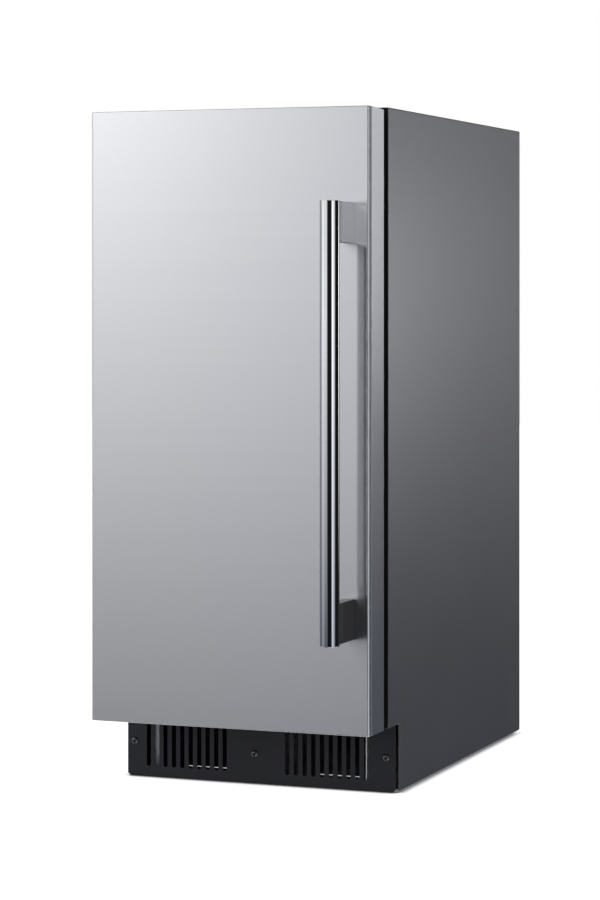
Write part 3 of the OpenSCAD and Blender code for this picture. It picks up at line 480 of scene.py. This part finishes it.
class Shape:
    """Collects vertices and faces, in metres, and makes one object of them."""

    def __init__(self):
        self.points = []
        self.faces = []

    def face(self, points):
        first = len(self.points)
        self.points += [tuple(p) for p in points]
        self.faces.append(tuple(range(first, first + len(points))))
        return self

    def rings(self, rings, closed=False, capped=True):
        """Joins rings of points with the same count. A closed run joins its last ring to its first."""
        first = len(self.points)
        count = len(rings[0])
        for ring in rings:
            self.points += [tuple(p) for p in ring]
        runs = len(rings) if closed else len(rings) - 1
        for i in range(runs):
            a = first + i * count
            b = first + (i + 1) % len(rings) * count
            for k in range(count):
                n = (k + 1) % count
                self.faces.append((a + k, a + n, b + n, b + k))
        if capped and not closed:
            last = first + (len(rings) - 1) * count
            self.faces.append(tuple(first + k for k in reversed(range(count))))
            self.faces.append(tuple(last + k for k in range(count)))
        return self

    def prism(self, outline, axis, low, high):
        """An outline pushed along X, Y or Z. The outline gives the other two, in the order X, Y, Z."""
        place = {
            "X": lambda p, t: (t, p[0], p[1]),
            "Y": lambda p, t: (p[0], t, p[1]),
            "Z": lambda p, t: (p[0], p[1], t),
        }[axis]
        return self.rings([[place(p, t) for p in outline] for t in (low, high)])

    def box(self, x, y, z):
        return self.prism(rectangle(*x, *y), "Z", *z)

    def lathe(self, profile, centre, axis="Z", sides=48):
        """Turns (radius, distance) points round an axis through the centre."""
        rings = []
        for radius, along in profile:
            ring = []
            for k in range(sides):
                turn = 2 * math.pi * k / sides
                u = radius * math.cos(turn)
                v = radius * math.sin(turn)
                offset = {"X": (along, u, v), "Y": (v, along, u), "Z": (u, v, along)}[axis]
                ring.append(tuple(Vector(centre) + Vector(offset)))
            rings.append(ring)
        return self.rings(rings)

    def frame(self, profile, x, z, y):
        """Runs a closed (outward, depth) profile round a rectangle in the XZ plane, mitred at the corners."""
        rings = []
        for side_x, side_z in ((0, 0), (1, 0), (1, 1), (0, 1)):
            sign_x = 1 if side_x else -1
            sign_z = 1 if side_z else -1
            rings.append([(x[side_x] + sign_x * out, y + deep, z[side_z] + sign_z * out)
                          for out, deep in profile])
        return self.rings(rings, closed=True)

    def make(self, name):
        mesh = bpy.data.meshes.new(name)
        mesh.from_pydata(self.points, [], self.faces)
        work = bmesh.new()
        work.from_mesh(mesh)
        bmesh.ops.recalc_face_normals(work, faces=work.faces)
        work.to_mesh(mesh)
        work.free()
        return placed(name, mesh)


def smooth(piece, degrees=40):
    """Smooth shading with the sharp edges kept."""
    piece.data.shade_smooth()
    piece.data.set_sharp_from_angle(angle=math.radians(degrees))
    normals = piece.modifiers.new("normals", "WEIGHTED_NORMAL")
    normals.keep_sharp = True
    return piece


def bevelled(piece, width, segments=2, degrees=32):
    """Small rounded edges that catch the light."""
    piece.data.shade_smooth()
    bevel = piece.modifiers.new("bevel", "BEVEL")
    bevel.width = width
    bevel.segments = segments
    bevel.limit_method = "ANGLE"
    bevel.angle_limit = math.radians(degrees)
    bevel.use_clamp_overlap = True
    normals = piece.modifiers.new("normals", "WEIGHTED_NORMAL")
    normals.keep_sharp = False
    return piece


def stand_for(piece, *nodes, finish=None):
    """The piece rides with the CAD nodes that it replaces and takes their finish."""
    slot = slot_of[nodes[0]]
    piece.data.materials.clear()
    piece.data.materials.append(finish or finishes[slot])
    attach(piece, body_of[nodes[0]])
    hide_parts(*nodes)
    return piece


def extra(piece, body, slot, finish=None):
    """A detail that the CAD model doesn't have."""
    piece.data.materials.append(finish or finishes[slot])
    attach(piece, body)
    return piece


def joined_copy(node):
    """A copy of a CAD node's mesh with its triangles joined up."""
    mesh = frame["nodes"][node].data.copy()
    mesh.name = node + "_refined"
    work = bmesh.new()
    work.from_mesh(mesh)
    bmesh.ops.remove_doubles(work, verts=work.verts, dist=0.000002)
    bmesh.ops.dissolve_limit(work, angle_limit=math.radians(0.6), verts=work.verts, edges=work.edges)
    work.to_mesh(mesh)
    work.free()
    return placed(node + "_refined", mesh)


def refined(node, width, segments=2, finish=None):
    """A CAD node's shape with its edges rounded."""
    return stand_for(bevelled(joined_copy(node), width, segments), node, finish=finish)


def rounded_pipe(node):
    """A pipe's shape with its section and its bends made round."""
    piece = joined_copy(node)
    piece.data.shade_smooth()
    rounder = piece.modifiers.new("round", "SUBSURF")
    rounder.levels = 2
    rounder.render_levels = 2
    return stand_for(piece, node)


def plate(name, outline, holes, y, bevel):
    """Sheet in the XZ plane with holes through it, from the first y to the second."""
    curve = bpy.data.curves.new(name, "CURVE")
    curve.dimensions = "2D"
    curve.fill_mode = "BOTH"
    curve.extrude = (y[1] - y[0]) / 2
    for points in [outline] + holes:
        spline = curve.splines.new("POLY")
        spline.points.add(len(points) - 1)
        for point, (across, up) in zip(spline.points, points):
            point.co = (across, up, 0, 1)
        spline.use_cyclic_u = True
    maker = placed(name + "_curve", curve)
    bpy.context.view_layer.update()
    mesh = bpy.data.meshes.new_from_object(maker.evaluated_get(bpy.context.evaluated_depsgraph_get()))
    bpy.data.objects.remove(maker)
    mesh.transform(Matrix.Translation((0, sum(y) / 2, 0)) @ Matrix.Rotation(math.radians(90), 4, "X"))
    work = bmesh.new()
    work.from_mesh(mesh)
    bmesh.ops.remove_doubles(work, verts=work.verts, dist=0.000002)
    bmesh.ops.recalc_face_normals(work, faces=work.faces)
    work.to_mesh(mesh)
    work.free()
    mesh.name = name
    return bevelled(placed(name, mesh), bevel, 2, 60)


def in_mm(points):
    """Pairs of millimetres, in metres."""
    return [(a * MM, b * MM) for a, b in points]


def disc(across, up, radius, sides=24):
    """A round outline."""
    turns = [2 * math.pi * k / sides for k in range(sides)]
    return [(across + radius * math.cos(turn), up + radius * math.sin(turn)) for turn in turns]


# ---------- door ----------

def door_skin():
    """Brushed front sheet, folded back at all four sides with rounded folds."""
    low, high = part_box("door_front_panel")
    corner = 2.5 * MM
    fold = 1.1 * MM
    work = bmesh.new()
    bmesh.ops.create_cube(work, size=1, matrix=Matrix.Translation((low + high) / 2)
                          @ Matrix.Diagonal((*(high - low), 1)))
    back = [f for f in work.faces if f.calc_center_median().y > high.y - LEVEL_WITHIN]
    bmesh.ops.delete(work, geom=back, context="FACES_ONLY")
    front = [e for e in work.edges if all(v.co.y < low.y + LEVEL_WITHIN for v in e.verts)]
    upright = [e for e in front if abs(e.verts[0].co.x - e.verts[1].co.x) < LEVEL_WITHIN]
    bmesh.ops.bevel(work, geom=upright, offset=corner, segments=8, profile=0.5, affect="EDGES")
    level = [e for e in work.edges if not e.is_boundary and len(e.link_faces) == 2
             and e.calc_face_angle(0) > math.radians(50)]
    bmesh.ops.bevel(work, geom=level, offset=fold, segments=4, profile=0.5, affect="EDGES")
    mesh = bpy.data.meshes.new("door_skin")
    work.to_mesh(mesh)
    work.free()
    piece = placed("door_skin", mesh)
    thick = piece.modifiers.new("sheet", "SOLIDIFY")
    thick.thickness = SHEET
    thick.offset = -1
    thick.use_even_offset = True
    smooth(piece, 50)
    stand_for(piece, "door_front_panel")


def door_trims():
    """Steel channels down the two sides of the door, with a round hem along the gap."""
    low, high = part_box("door_side_trims")
    edge = high.x
    inner = edge - SHEET
    lip = 16 * MM
    hem = 1.6 * MM
    inside = 0.5 * MM
    cut = 0.3 * MM
    dip = 2.2 * MM
    outline = rounded([
        (edge, low.y), (edge, high.y), (edge - lip, high.y), (edge - lip, high.y - SHEET),
        (inner, high.y - SHEET), (inner, low.y)
    ], [cut, hem, cut, cut, inside, cut], 6)
    for name, side, pivot_room in (("left", -1, 7 * MM), ("right", 1, 0)):
        mirrored = [(side * x, y) for x, y in outline]
        top = high.z - pivot_room
        bottom = low.z + pivot_room
        piece = smooth(Shape().prism(mirrored, "Z", bottom, top).make("door_trim_" + name), 35)
        for vertex in piece.data.vertices:
            if vertex.co.z > top - LEVEL_WITHIN:
                vertex.co.z -= dip * ((vertex.co.y - low.y) / (high.y - low.y)) ** 2
        stand_for(piece, "door_side_trims", finish=trim_finish)


def door_gasket():
    """Magnetic seal: a soft foot on the door, two folds of bellows and the flat magnet pocket."""
    low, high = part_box("door_gasket")
    deep = high.y - low.y
    width = 12 * MM
    half = [
        (0.22, 0.00), (0.24, 0.10), (0.42, 0.18), (0.48, 0.27), (0.42, 0.36), (0.30, 0.42), (0.40, 0.48),
        (0.46, 0.56), (0.40, 0.63), (0.38, 0.66), (0.49, 0.70), (0.50, 0.80), (0.50, 0.93), (0.46, 1.00)
    ]
    outline = half + [(-out, along) for out, along in reversed(half)]
    profile = [(out * width, along * deep) for out, along in outline]
    x = (low.x + width / 2, high.x - width / 2)
    z = (low.z + width / 2, high.z - width / 2)
    piece = smooth(Shape().frame(profile, x, z, low.y).make("door_seal"), 30)
    stand_for(piece, "door_gasket")


def door_inside():
    """Vacuum formed inner panel: a flat rim and a raised pad with drawn, rounded sides."""
    low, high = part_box("door_liner")
    rim_top = 2 * MM
    pad_x = 138 * MM
    pad_z = (276 * MM, 818 * MM)
    well_x = pad_x - 18 * MM
    well_z = (pad_z[0] + 20 * MM, pad_z[1] - 20 * MM)
    face = high.y
    floor = low.y + 5 * MM
    shape = Shape()

    def loop(x, z, y, radius):
        return [(a, y, b) for a, b in rounded(rectangle(-x, x, *z), radius, 6)]

    def grown(z, by):
        return (z[0] - by, z[1] + by)

    shape.rings([
        loop(high.x, (low.z, high.z), low.y, 3 * MM),
        loop(high.x, (low.z, high.z), low.y + rim_top, 3 * MM),
        loop(pad_x + 1.5 * MM, grown(pad_z, 1.5 * MM), low.y + rim_top, 12 * MM),
        loop(pad_x, pad_z, low.y + rim_top + 1.5 * MM, 11 * MM),
        loop(pad_x - 1 * MM, grown(pad_z, -1 * MM), face - 3 * MM, 11 * MM),
        loop(pad_x - 2 * MM, grown(pad_z, -2 * MM), face - 0.8 * MM, 10 * MM),
        loop(pad_x - 4 * MM, grown(pad_z, -4 * MM), face, 9 * MM),
        loop(well_x + 2 * MM, grown(well_z, 2 * MM), face, 9 * MM),
        loop(well_x, well_z, face - 1.5 * MM, 8 * MM),
        loop(well_x - 1 * MM, grown(well_z, -1 * MM), floor + 2 * MM, 8 * MM),
        loop(well_x - 3 * MM, grown(well_z, -3 * MM), floor, 7 * MM),
    ])
    piece = smooth(shape.make("door_inner_panel"), 45)
    stand_for(piece, "door_liner")


def handle_bar():
    """Polished bar with turned ends."""
    low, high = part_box("handle_bar")
    radius = (high.x - low.x) / 2
    foot = ((low.x + high.x) / 2, (low.y + high.y) / 2, low.z)
    length = high.z - low.z
    end = [(0.0001 * MM, 0), (radius - 3 * MM, 0), (radius - 0.5 * MM, 0), (radius - 0.15 * MM, 0.15 * MM),
           (radius, 0.5 * MM)]
    profile = end + [(r, length - along) for r, along in reversed(end)]
    bar = Shape().lathe(profile, foot, sides=128).make("bar")
    stand_for(smooth(bar, 30), "handle_bar")


def handle_posts():
    """Two posts shaped to the bar's back. The lower post and the flat end faces of both are painted dark as
    painted shade.
    """
    bar_low, bar_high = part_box("handle_bar")
    radius = (bar_high.x - bar_low.x) / 2
    middle = (bar_low + bar_high) / 2
    low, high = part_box("handle_posts")
    reach = math.asin((high.x - low.x) / 2 / radius)
    steps = 10
    turns = [-reach + 2 * reach * k / steps for k in range(steps + 1)]
    saddle = [(middle.x + radius * math.sin(turn), middle.y + radius * math.cos(turn)) for turn in turns]
    outline = saddle + [(high.x, high.y), (low.x, high.y)]
    tall = 50 * MM
    # The lower post takes the painted shade finish, the upper one the polished stainless.
    for name, z, finish in (("low", low.z, low_post_shade_finish), ("high", high.z - tall, post_finish)):
        post = Shape().prism(outline, "Z", z, z + tall).make("handle_post_" + name)
        bevelled(post, 0.45 * MM, 3, 50)
        stand_for(post, "handle_posts", finish=finish)
        # The flat end faces take the painted shade.
        post.data.materials.append(end_shade_finish)
        for face in post.data.polygons:
            if abs(face.normal.z) > 0.9:
                face.material_index = 1


# ---------- toe kick ----------

def slot_outline(centre, half, low, high):
    """A vent slot with round ends."""
    arc = [math.pi * k / 8 for k in range(9)]
    return ([(centre + half * math.cos(a), high - half + half * math.sin(a)) for a in arc]
            + [(centre - half * math.cos(a), low + half - half * math.sin(a)) for a in arc])


def kick_plate():
    """Powder coated toe kick with two groups of vent slots and a folded top edge."""
    low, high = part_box("kick_plate")
    front = high.y - KICK_SHEET
    clip = 4 * MM
    blunt = 1 * MM
    crisp = 0.4 * MM
    outline = rounded([
        (low.x + clip, low.z), (high.x - clip, low.z), (high.x, low.z + clip), (high.x, high.z),
        (low.x, high.z), (low.x, low.z + clip)
    ], [blunt, blunt, blunt, crisp, crisp, blunt], 4)
    pitch = 12 * MM
    half_slot = 3 * MM
    slot_low = 14 * MM
    slot_high = 79 * MM
    screw_hole = 2.2 * MM
    per_group = 10
    groups = ((-1, 50.5 * MM), (1, 37 * MM))
    centres = [side * (start + pitch * i) for side, start in groups for i in range(per_group)]
    slots = [slot_outline(x, half_slot, slot_low, slot_high) for x in centres]
    screws = [disc(x * MM, z * MM, screw_hole) for x, z in KICK_SCREWS]
    piece = plate("toe_kick", outline, slots + screws, (front, high.y), 0.25 * MM)
    stand_for(piece, "kick_plate")
    fold = Shape().box((low.x, high.x), (low.y, front), (high.z - KICK_SHEET, high.z)).make("toe_kick_fold")
    extra(bevelled(fold, 0.3 * MM), "cabinet", "black_paint")


def screw(centre, turn, length=6):
    """A pan head with a cross recess, facing -Y until it is turned, and its shank."""
    shank = 2.0
    crown = [(0.0001, -2.6), (2.2, -2.55), (3.6, -2.2), (4.5, -1.4), (4.8, -0.5), (4.8, 0), (shank, 0),
             (shank, length)]
    head = Shape().lathe(in_mm(crown), (0, 0, 0), "Y", 40).make("screw")
    recess = Shape()
    arm = 2.5 * MM
    thin = 0.55 * MM
    taper = 0.6
    for a, b in ((arm, thin), (thin, arm)):
        mouth = rectangle(-a, a, -b, b)
        recess.rings([
            [(x, -4 * MM, z) for x, z in mouth],
            [(x * taper, -1.1 * MM, z * taper) for x, z in mouth],
        ])
    cutter = recess.make("recess")
    cut = head.modifiers.new("recess", "BOOLEAN")
    cut.operation = "DIFFERENCE"
    cut.solver = "EXACT"
    cut.use_self = True
    cut.object = cutter
    bpy.context.view_layer.update()
    mesh = bpy.data.meshes.new_from_object(head.evaluated_get(bpy.context.evaluated_depsgraph_get()))
    bpy.data.objects.remove(head)
    bpy.data.objects.remove(cutter)
    mesh.transform(Matrix.Translation(centre) @ turn)
    return mesh


def joined(name, meshes):
    """Loose screws made into one piece."""
    work = bmesh.new()
    for mesh in meshes:
        work.from_mesh(mesh)
    whole = bpy.data.meshes.new(name)
    work.to_mesh(whole)
    work.free()
    return smooth(placed(name, whole), 35)


def case_screws():
    """All seven black screws: three in the toe kick, two in each hinge."""
    kick_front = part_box("kick_plate")[1].y - KICK_SHEET
    cabinet_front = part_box("side_panel_right")[0].y
    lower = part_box("bottom_hinge")[0] + Vector((3, 0, 34)) * MM
    upper = Vector((-177 * MM, 0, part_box("top_hinge")[1].z - 4 * MM))
    meshes = []
    for index, (x, z) in enumerate(KICK_SCREWS):
        turn = Matrix.Rotation(math.radians(20 + 33 * index), 4, "Y")
        meshes.append(screw((x * MM, kick_front, z * MM), turn))
    for back in (22, 42):
        y = cabinet_front + back * MM
        meshes.append(screw((upper.x, y, upper.z), Matrix.Rotation(math.radians(90), 4, "X")))
        meshes.append(screw((lower.x, y, lower.z), Matrix.Rotation(math.radians(90), 4, "Z"), 2.9))
    stand_for(joined("screws", meshes), "case_screws", finish=screw_finish)


def base_pan():
    """Galvanised tray with its front lip and the tabs for the toe kick."""
    low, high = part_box("base_pan")
    front = (low.y, low.y + PAN_SHEET)
    floor = (low.z, low.z + PAN_SHEET)
    narrow = (low.x + 5 * MM, high.x - 5 * MM)
    lip = 8 * MM
    shape = Shape()
    shape.box((low.x, high.x), (low.y + lip, high.y), floor)
    shape.box(narrow, (low.y, low.y + lip + 0.2 * MM), floor)
    shape.box(narrow, front, (low.z, low.z + lip))
    for x, z in KICK_SCREWS:
        tab = (max((x - 8) * MM, narrow[0]), min((x + 8) * MM, narrow[1]))
        shape.box(tab, front, (low.z, (z + 10) * MM))
    for side in (-1, 1):
        wall = sorted((side * (high.x - PAN_SHEET), side * high.x))
        shape.box(wall, (low.y + 12 * MM, high.y), (low.z, low.z + 20 * MM))
    stand_for(bevelled(shape.make("pan"), 0.3 * MM), "base_pan")


def leg_bosses():
    """Threaded bosses in the base pan, one for each leg."""
    profile = in_mm([(5.1, 0), (10, 0), (10, 10.5), (9, 12), (5.1, 12), (5.1, 0)])
    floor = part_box("base_pan")[0].z
    for leg in LEGS:
        low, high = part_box(leg)
        middle = (low + high) / 2
        boss = Shape().lathe(profile, (middle.x, middle.y, floor)).make("boss_" + leg)
        extra(smooth(boss), "cabinet", "galvanised_steel")


def coil_brackets():
    """The brackets and rails that show behind the toe kick's outer slots."""
    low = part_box("base_pan")[0]
    up = (low.z + PAN_SHEET, 92 * MM)
    deep = (low.y + 2 * MM, low.y + 16 * MM)
    flange = deep[1] - 1.2 * MM
    stud = in_mm([(0.1, -1.4), (1.3, -1.2), (1.7, 0), (0.1, 0)])
    brackets = Shape()
    for x in (-155 * MM, 143.5 * MM):
        brackets.box((x, x + 1.2 * MM), deep, up)
        brackets.box((x, x + 4.5 * MM), (flange, deep[1]), up)
        for z in (18, 22, 26):
            brackets.lathe(stud, (x + 2.6 * MM, flange, z * MM), "Y", 16)
    # The brackets take the pale finish of painted light.
    extra(bevelled(brackets.make("coil_brackets"), 0.2 * MM, 1), "cabinet", "zinc_plate", lit_bracket_finish)
    rails = Shape()
    for start, end in ((-106, -46.5), (80, 136)):
        rails.box((start * MM, end * MM), (deep[0], deep[0] + 1 * MM), (16.8 * MM, 17.7 * MM))
    # The rails glow as a painted highlight.
    extra(bevelled(rails.make("coil_rails"), 0.15 * MM), "cabinet", "zinc_plate", glowing_highlight_finish)


# ---------- cabinet ----------

def side_panels():
    """Side sheets with rounded edges, the notch over the toe kick and the flange behind the front frame."""
    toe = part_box("kick_plate")[1].z + 0.1 * MM
    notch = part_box("base_pan")[0].y
    flange = 16 * MM
    for name, side in (("side_panel_left", -1), ("side_panel_right", 1)):
        low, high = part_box(name)
        outer = high.x if side > 0 else -low.x
        inner = outer - SHEET
        outline = rounded([
            (low.y, toe), (notch, toe), (notch, low.z), (high.y, low.z), (high.y, high.z), (low.y, high.z)
        ], 0.8 * MM, 3)
        shape = Shape().prism(outline, "X", *sorted((side * inner, side * outer)))
        across = sorted((side * (inner - flange), side * inner))
        shape.box(across, behind_frame(low.y), (96 * MM, 831 * MM))
        stand_for(bevelled(shape.make(name + "_sheet"), 0.45 * MM, 3), name)


def behind_frame(front):
    """From front to back, where the panels' flanges lie behind the front frame."""
    start = front + 3 * MM
    return start, start + SHEET


def top_panel():
    """Top sheet with rounded edges and its front flange."""
    low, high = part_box("top_panel")
    under = high.z - SHEET
    shape = Shape().prism(rounded(rectangle(low.x, high.x, low.y, high.y), 1.2 * MM, 4), "Z", under, high.z)
    shape.box((-165 * MM, 187 * MM), behind_frame(low.y), (low.z, under))
    stand_for(bevelled(shape.make("top_sheet"), 0.45 * MM, 3), "top_panel")


def back_panel():
    """Rear sheet with a wide pressed field that keeps it flat."""
    low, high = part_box("back_panel")
    field = high.y - 0.6 * MM

    def loop(inset, y, radius):
        corners = rectangle(low.x + inset * MM, high.x - inset * MM, low.z + inset * MM, high.z - inset * MM)
        return [(x, y, z) for x, z in rounded(corners, radius * MM, 5)]

    shape = Shape().rings([
        loop(0, low.y, 1), loop(0, high.y - 0.2 * MM, 1), loop(0.3, high.y, 1), loop(26, high.y, 12),
        loop(28, field, 11), loop(52, field, 10), loop(54, high.y, 9)
    ])
    stand_for(smooth(shape.make("back_sheet"), 40), "back_panel")


def rear_cover():
    """Lower rear cover with its vents, and holes for the water inlet, the drain and the cord gland."""
    low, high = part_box("rear_cover")
    vents = in_mm([(x, 120 + 12 * row) for row in range(8) for x in (-150, -75)])
    wide = 60 * MM
    tall = 4 * MM
    holes = [rectangle(x, x + wide, z, z + tall) for x, z in vents]
    for x, z, radius, sides in ((120, 150, 14.2, 40), (60, 40, 9, 32), (-120, 64, 8.2, 32)):
        holes.append(disc(x * MM, z * MM, radius * MM, sides))
    edge = rectangle(low.x, high.x, low.z, high.z)
    sheet = plate("rear_cover_sheet", edge, holes, (low.y, high.y), 0.2 * MM)
    stand_for(sheet, "rear_cover")
    louvres = Shape()
    out = high.y + 4 * MM
    for x, z in vents:
        section = [(high.y, z + 4.2 * MM), (high.y, z + 5.2 * MM), (out, z + 2.4 * MM), (out, z + 1.4 * MM)]
        louvres.prism(section, "X", x - 1 * MM, x + wide + 1 * MM)
    extra(bevelled(louvres.make("rear_louvres"), 0.3 * MM), "cabinet", "galvanised_steel")
    turn = Matrix.Rotation(math.radians(180), 4, "Z")
    spots = in_mm([(x, z) for x in (-180, -60, 60, 180) for z in (12, 230)])
    screws = [screw((x, high.y, z), turn) for x, z in spots]
    extra(joined("rear_screws", screws), "cabinet", "zinc_plate")


def liner():
    """Moulded inner box with rounded corners and its front rim."""
    low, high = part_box("liner")
    back = high.y - LINER_WALL

    def loop(grow, y, radius):
        off = LINER_RIM - grow
        corners = rectangle(low.x + off, high.x - off, low.z + off, high.z - off)
        return [(x, y, z) for x, z in rounded(corners, radius * MM, 6)]

    shape = Shape().rings([
        loop(LINER_WALL, high.y, 6), loop(LINER_WALL, low.y + LINER_WALL, 6),
        loop(LINER_RIM, low.y + LINER_WALL, 3), loop(LINER_RIM, low.y, 3),
        loop(1.2 * MM, low.y, 5), loop(0.3 * MM, low.y + 0.4 * MM, 4), loop(0, low.y + 1.2 * MM, 4),
        loop(0, back - 4 * MM, 4), loop(-1.2 * MM, back - 1.2 * MM, 3.5), loop(-4 * MM, back, 3)
    ])
    stand_for(smooth(shape.make("inner_box"), 40), "liner")


def retainer_ribs():
    """Pairs of ribs on the liner's sides that make the grooves for the ice retainer."""
    box_low, box_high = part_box("liner")
    wall = box_high.x - LINER_RIM
    floor = box_low.z + LINER_RIM
    low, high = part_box("ice_retainer")
    play = 0.5 * MM
    rib = 3 * MM
    ribs = Shape()
    for side in (-1, 1):
        across = sorted((side * (wall - 10 * MM), side * wall))
        for y in (low.y - play - rib, high.y + play):
            ribs.box(across, (y, y + rib), (floor, floor + 145 * MM))
    extra(bevelled(ribs.make("retainer_ribs"), 0.8 * MM, 3), "cabinet", "white_plastic")


def pipe_grommet():
    """Rubber cover in the liner's back, where the pipes come through."""
    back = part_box("liner")[1].y - LINER_WALL
    cover = Shape()
    for grow, deep in ((4 * MM, 2.0 * MM), (1 * MM, 3.5 * MM)):
        edge = rectangle(82 * MM - grow, 130 * MM + grow, 628 * MM - grow, 662 * MM + grow)
        cover.prism(rounded(edge, 5 * MM), "Y", back - deep, back)
    extra(bevelled(cover.make("pipe_grommet"), 0.5 * MM), "cabinet", "black_rubber")


def light_lens():
    """Ridged cover of the light in the ceiling."""
    low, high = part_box("light_lens")
    ridges = 14
    step = (high.y - low.y) / ridges
    groove = low.z + 1.2 * MM
    outline = [(low.y, high.z)]
    for k in range(ridges):
        outline += [(low.y + (k + 0.1) * step, groove), (low.y + (k + 0.5) * step, low.z)]
    outline += [(high.y, groove), (high.y, high.z)]
    lens = Shape().prism(outline, "X", low.x, high.x).make("ridged_lens")
    stand_for(bevelled(lens, 0.3 * MM), "light_lens")


def buttons():
    """Round keys with a dished face and a flange behind the panel."""
    profile = in_mm([(0.001, 0.7), (2.5, 0.55), (4.2, 0.2), (5.0, 0.0), (5.6, 0.1), (5.95, 0.5), (6.0, 1.2),
                     (6.0, 4.9), (7.5, 4.9), (7.5, 6.5), (0.001, 6.5)])
    for name in ("power_button", "clean_button"):
        low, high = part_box(name)
        centre = ((low.x + high.x) / 2, low.y, (low.z + high.z) / 2)
        key = Shape().lathe(profile, centre, "Y", 64).make(name + "_key")
        stand_for(smooth(key, 35), name)


def condenser():
    """Close fins on seven tubes between two end plates."""
    low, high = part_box("condenser")
    left = low.x + 4 * MM
    right = high.x - 4 * MM
    end_plate = 1.5 * MM
    shape = Shape()
    for x in (left, right - end_plate):
        shape.box((x, x + end_plate), (low.y, high.y), (low.z, high.z))
    fins = 56
    fin = 0.25 * MM
    for k in range(1, fins):
        x = left + (right - left) * k / fins
        shape.box((x, x + fin), (low.y + 2 * MM, high.y - 2 * MM), (low.z + 6 * MM, high.z - 4 * MM))
    length = 160
    end = [(0.001, 0), (3, 0.3), (4.3, 1.4), (4.5, 2.5)]
    tube = in_mm(end + [(r, length - t) for r, t in reversed(end)])
    for row in range(7):
        start = (low.x, low.y + 22 * MM, low.z + (20 + 26 * row) * MM)
        shape.lathe(tube, start, "X", 24)
    stand_for(smooth(shape.make("coil_with_fins"), 35), "condenser")


def blade_section(out, turned):
    """A fan blade's cambered section round the Y axis. Out is 0 at the hub and 1 at the tip."""
    radius = (15 + 56.5 * out) * MM
    pitch = math.radians(34 - 12 * out)
    chord = (24 + 16 * out) * MM
    middle = math.radians(turned + 18 * out ** 2)
    ring = []
    for share, skin in [(i / 6, 1) for i in range(7)] + [(i / 6, -1) for i in range(5, 0, -1)]:
        along = (share - 0.5) * chord
        bulge = 4 * share * (1 - share)
        across = bulge * 2.2 * MM + skin * (0.25 + 0.65 * bulge) * MM
        turn = middle + (along * math.cos(pitch) - across * math.sin(pitch)) / radius
        deep = along * math.sin(pitch) + across * math.cos(pitch)
        ring.append(Vector((radius * math.cos(turn), deep, radius * math.sin(turn))))
    return ring


def fan():
    """Five twisted, cambered blades on a domed hub."""
    centre = Vector((-70 * MM, -80 * MM, 108 * MM))
    hub = [(0.001, -9), (9, -8.8), (14, -7.6), (16.6, -5), (17, -2), (17, 9), (4, 9), (3, 9.6), (3, 30),
           (0.001, 30)]
    shape = Shape().lathe(in_mm(hub), centre, "Y", 48)
    blades = 5
    steps = 8
    for blade in range(blades):
        sections = [blade_section(k / steps, 360 / blades * blade) for k in range(steps + 1)]
        shape.rings([[centre + point for point in section] for section in sections])
    stand_for(smooth(shape.make("fan_rotor"), 35), "fan_blade")


def legs():
    """Levelling legs: a round foot, a collar and a threaded stem."""
    root = 4.5
    crest = 5.0
    pitch = 1.5
    profile = [(0.001, 0), (14.6, 0), (15.7, 0.3), (16, 0.9), (16, 1.5), (15.5, 2.0), (14, 2.2), (6, 2.2)]
    height = 3.2
    while height < 40.5:
        profile += [(root, height), (crest, height + 0.5), (crest, height + 0.8), (root, height + 1.3)]
        height += pitch
    profile += [(4.4, 41.5), (3.6, 42.5), (0.001, 42.5)]
    for name in LEGS:
        low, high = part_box(name)
        centre = ((low.x + high.x) / 2, (low.y + high.y) / 2, low.z)
        foot = Shape().lathe(in_mm(profile), centre, "Z", 40).make(name + "_screw")
        stand_for(smooth(foot, 30), name)


# CAD shapes that are kept and refined: the nodes by the width of their rounded edges in mm, and the pipes.
EDGES = {
    0.8: ("control_panel", "water_trough", "scoop_holder", "ice_scoop", "ice_retainer", "electronics_box"),
    0.5: ("top_hinge", "bottom_hinge", "door_end_caps", "evaporator_frame", "pump_motor", "ice_level_sensor",
          "water_distributor", "fan_motor", "water_valve", "power_inlet", "compressor", "hot_gas_valve",
          "compressor_mounts"),
    0.3: ("display_window", "evaporator_plate", "water_curtain", "fan_shroud", "machine_deck",
          "drain_fittings", "pump_impeller", "hinge_bushes", "handle_screws", "air_baffle"),
}
PIPES = ("evaporator_coil", "refrigerant_pipes", "water_tubes", "drain_hose")


# ---------- build ----------

scene.view_settings.view_transform = "Standard"
add_camera()
add_world()
add_floor()
add_area("key_light", (-2.4, -3.2, 2.6), (0, 0, 0.5), (2.2, 2.2), 30)
add_area("side_light", (3.2, 0.6, 2.0), (0, 0, 0.5), (2.0, 2.0), 15)
for node, cad in frame["nodes"].items():
    cad.data.materials.clear()
    cad.data.materials.append(finishes[slot_of[node]])
door_skin()
door_trims()
door_gasket()
door_inside()
handle_bar()
handle_posts()
kick_plate()
case_screws()
base_pan()
leg_bosses()
coil_brackets()
side_panels()
top_panel()
back_panel()
rear_cover()
# The front frame takes the darker black of painted shade.
refined("front_frame", 0.4 * MM, finish=frame_shade_finish)
liner()
retainer_ribs()
pipe_grommet()
light_lens()
buttons()
condenser()
fan()
legs()
for radius, nodes in EDGES.items():
    for node in nodes:
        refined(node, radius * MM, 3)
for node in PIPES:
    rounded_pipe(node)
